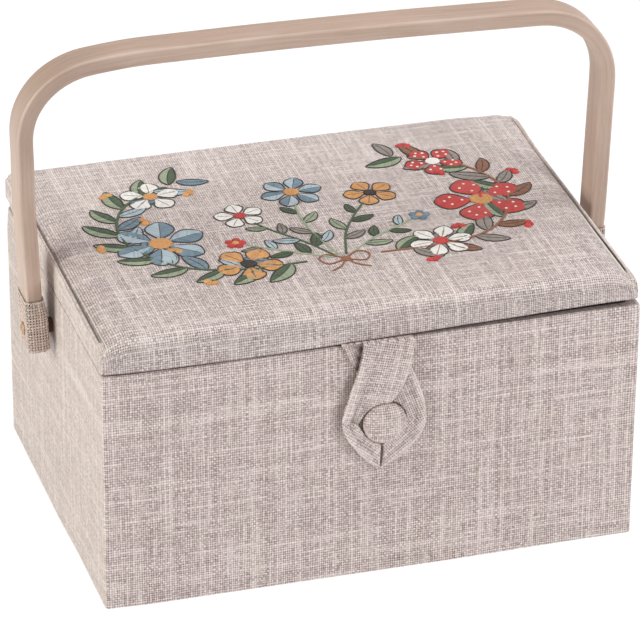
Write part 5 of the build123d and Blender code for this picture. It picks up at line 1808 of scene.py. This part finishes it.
def embroider():
    e = Needle()
    rnd = np.random.RandomState(77)
    # two long stems sweep from the left and the right to the middle of the near side, like an open garland
    left = spline([(-20, -50), (-54, -50), (-90, -38), (-112, -8), (-115, 24), (-100, 54), (-66, 74)], 120)
    right = spline([(24, -50), (60, -50), (94, -40), (116, -10), (118, 22), (102, 52), (68, 72)], 120)
    for stem, mat in ((left, GREEN), (right, RUST)):
        e.line(stem[::6], mat, 2.0, 1.0, 0.25)

    def sprig(stem, i, side, size, mat, second=None, out_angle=0.85, outline=DARK, seed=0):
        p = stem[i]
        d = stem[min(i + 2, len(stem) - 1)] - stem[max(i - 2, 0)]
        a = math.atan2(d[1], d[0]) + side * out_angle
        e.leaf(p, a, size, size * 0.42, mat, bend=-side * 0.5, outline=outline, seed=seed, second=second)

    n = 0
    for stem, palette in ((left, (GREEN, BLUE, GREEN, SKY)), (right, (GREY, RUST, GREEN, GREY))):
        for i in range(6, 118, 11):
            for side in (1, -1):
                m = palette[n % 4]
                sprig(stem, min(i + (5 if side < 0 else 0), 119), side, (22 if side > 0 else 19) + 5 * rnd.rand(), m, second=(SAGE if m == GREEN else None), seed=n)
                n += 1
    # berries on short stalks
    for stem, mat in ((left, ORANGE), (right, RED)):
        for i in range(12, 116, 17):
            p = stem[i]
            d = stem[i + 2] - stem[i - 2]
            a = math.atan2(d[1], d[0]) + (1.25 if (i // 17) % 2 else -1.25)
            q = p + 15.0 * np.array([math.cos(a), math.sin(a)])
            e.line([p, (p + q) / 2 + [0.8, 0.4], q], DARK, 0.8, 0.5, 0.2)
            for k in range(3):
                b_ = a + (k - 1) * 0.95
                c = q + 3.1 * np.array([math.cos(b_), math.sin(b_)])
                e.knot(c[0], c[1], 2.3, mat, 1.15, seed=k)
    # blossoms
    e.blossom(-96, -4, 28, 6, BLUE, ORANGE, spin=0.3, second=SKY, seed=3)
    e.blossom(-54, -44, 20, 5, ORANGE, DARK, spin=0.9, seed=9)
    e.blossom(-86, 58, 18, 5, WHITE, ORANGE, spin=0.2, seed=14)
    e.blossom(102, 0, 28, 5, RED, ORANGE, spin=0.5, dots=WHITE, seed=21)
    e.blossom(62, -46, 19, 6, WHITE, RED, spin=0.1, seed=27)
    e.blossom(90, 58, 18, 5, RED, WHITE, spin=0.8, dots=WHITE, seed=33)
    # a small knotted bow of cord where the stems meet
    for sx in (-1, 1):
        loop_ = spline([(2, -52), (2 + sx * 9, -45), (2 + sx * 15, -49), (2 + sx * 11, -57), (2, -53)], 40)
        e.line(loop_[::3], RUST, 1.3, 0.8, 0.35)
        tail = [(2 + sx * 0.8, -54), (2 + sx * 5, -61), (2 + sx * 12, -66)]
        e.line(tail, RUST, 1.3, 0.8, 0.35)
    e.knot(2, -53, 3.0, RUST, 1.5)
    # a posy that fans out from the bow
    stems = [
        ([(-2, -48), (-14, -26), (-30, -4), (-40, 14)], GREEN),
        ([(0, -47), (-6, -20), (-8, 10), (-4, 34)], SAGE),
        ([(4, -47), (12, -20), (24, 2), (38, 22)], GREEN),
        ([(6, -48), (24, -32), (44, -20), (56, -12)], SAGE),
        ([(-4, -49), (-22, -38), (-40, -26), (-50, -18)], SAGE),
    ]
    for k, (pts, mat) in enumerate(stems):
        stem = spline(pts, 60)
        e.line(stem[::4], mat, 1.6, 0.9, 0.2)
        for j, i in enumerate(range(14, 50, 9)):
            sprig(stem, i, 1 if j % 2 else -1, 15 - j + 3 * rnd.rand(), (GREEN, SKY, GREY, SAGE, GREEN)[(k + j) % 5], seed=60 + k * 7 + j)
    e.blossom(-42, 18, 15, 5, WHITE, RED, spin=0.4, seed=41)
    e.blossom(-4, 40, 19, 6, BLUE, ORANGE, spin=0.15, second=SKY, seed=43)
    e.blossom(41, 27, 16, 5, ORANGE, DARK, spin=0.6, seed=47)
    for cx, cy, mat in ((-54, -16, RED), (60, -10, BLUE)):
        for k in range(5):
            t = 2 * PI * k / 5
            e.knot(cx + 4.0 * math.cos(t), cy + 4.0 * math.sin(t), 2.5, mat, 1.2, seed=k)
        e.knot(cx, cy, 2.3, ORANGE, 1.5)
    ob = e.make("lid_embroidery", "lid", THREADS, "linen", normals=True)
    return ob


embroider()


# ------------------------------------------------------------------ finishes on the CAD nodes that stay
def dress(names, mat):
    for n in names:
        o = NODES[n]
        o.data.materials.clear()
        o.data.materials.append(mat)


SHOWN = [
    (BOARD, ["base_board", "front_board", "back_board", "left_board", "right_board", "lid_board"]),
    (STEEL, ["rivet_washers", "button_back"]),
    (BRASS, ["pivot_rivets"]),
    (SPACER, ["pivot_spacers"]),
    (TRAY, ["tray"]),
]
for mat, names in SHOWN:
    dress(names, mat)
left_over = [n for n, o in NODES.items() if not o.hide_render and not any(n in names for _, names in SHOWN)]
if left_over:
    raise SystemExit("nodes with no finish: " + ", ".join(sorted(left_over)))


# ------------------------------------------------------------------ floor, light and camera
def floor():
    s = Shade("floor")
    p = s.place()
    n = s.noise(p, 3.0, 2.0)
    s.finish(s.ramp(n, [(0.3, (0.155, 0.155, 0.155)), (0.7, (0.165, 0.165, 0.165))]), 0.9, None, Specular_IOR_Level=0.1)
    s.bsdf.inputs["Emission Color"].default_value = (1, 1, 1, 1)
    s.bsdf.inputs["Emission Strength"].default_value = 0.90
    me = bpy.data.meshes.new("floor")
    k = 12.0
    me.from_pydata([(-k, -k, 0), (k, -k, 0), (k, k, 0), (-k, k, 0)], [], [(0, 1, 2, 3)])
    me.materials.append(s.mat)
    ob = bpy.data.objects.new("floor", me)
    ob.location.z = -0.0004
    bpy.context.scene.collection.objects.link(ob)
    ob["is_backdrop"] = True


floor()
scene = bpy.context.scene
scene.view_settings.view_transform = "Standard"
scene.view_settings.look = "None"
scene.view_settings.exposure = 0.0
world = bpy.data.worlds.new("studio")
scene.world = world
world.use_nodes = True
world.node_tree.nodes["Background"].inputs[0].default_value = (1.0, 1.0, 1.0, 1.0)
world.node_tree.nodes["Background"].inputs[1].default_value = 0.16


def softbox(name, place, target, size, watts, colour=(1, 1, 1)):
    d = bpy.data.lights.new(name, "AREA")
    d.shape, d.size, d.size_y, d.energy, d.color = "RECTANGLE", size[0], size[1], watts, colour
    o = bpy.data.objects.new(name, d)
    o.location = place
    o.rotation_mode = "QUATERNION"
    o.rotation_quaternion = (Vector(target) - Vector(place)).to_track_quat("-Z", "Y")
    scene.collection.objects.link(o)
    return o


softbox("key", (-2.25, -0.34, 1.05), (0, 0, 0.12), (1.6, 1.5), 40.0, (1.0, 0.985, 0.92))
softbox("top", (0.35, 0.1, 2.3), (0, 0, 0.1), (2.0, 2.0), 27.0, (1.0, 0.995, 0.985))
softbox("right", (1.55, -1.9, 1.5), (0, 0, 0.1), (0.7, 0.7), 26.5, (1.0, 0.985, 0.99))
softbox("rear", (2.1, 0.7, 1.45), (0, 0, 0.15), (1.4, 1.4), 18.0, (1.0, 0.985, 0.98))

cam = bpy.data.cameras.new("camera")
cam.sensor_width, cam.sensor_fit, cam.lens = 36.0, "HORIZONTAL", 4758.0 / 640.0 * 36.0
cam.clip_start, cam.clip_end = 0.1, 60.0
camera = bpy.data.objects.new("camera", cam)
yaw, pitch, roll = math.radians(16.57), math.radians(27.25), math.radians(-0.14)
fw = Vector((math.sin(yaw) * math.cos(pitch), math.cos(yaw) * math.cos(pitch), -math.sin(pitch)))
rt = Vector((math.cos(yaw), -math.sin(yaw), 0.0))
dn = fw.cross(rt)
r2 = math.cos(roll) * rt + math.sin(roll) * dn
d2 = -math.sin(roll) * rt + math.cos(roll) * dn
camera.rotation_mode = "QUATERNION"
camera.rotation_quaternion = Matrix((r2, -d2, -fw)).transposed().to_quaternion()
camera.location = (-0.7148, -2.4097, 1.4069)
scene.collection.objects.link(camera)
scene.camera = camera

low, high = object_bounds()
{"cad": [list(cad_low), list(cad_high)], "visual": [list(low), list(high)]}
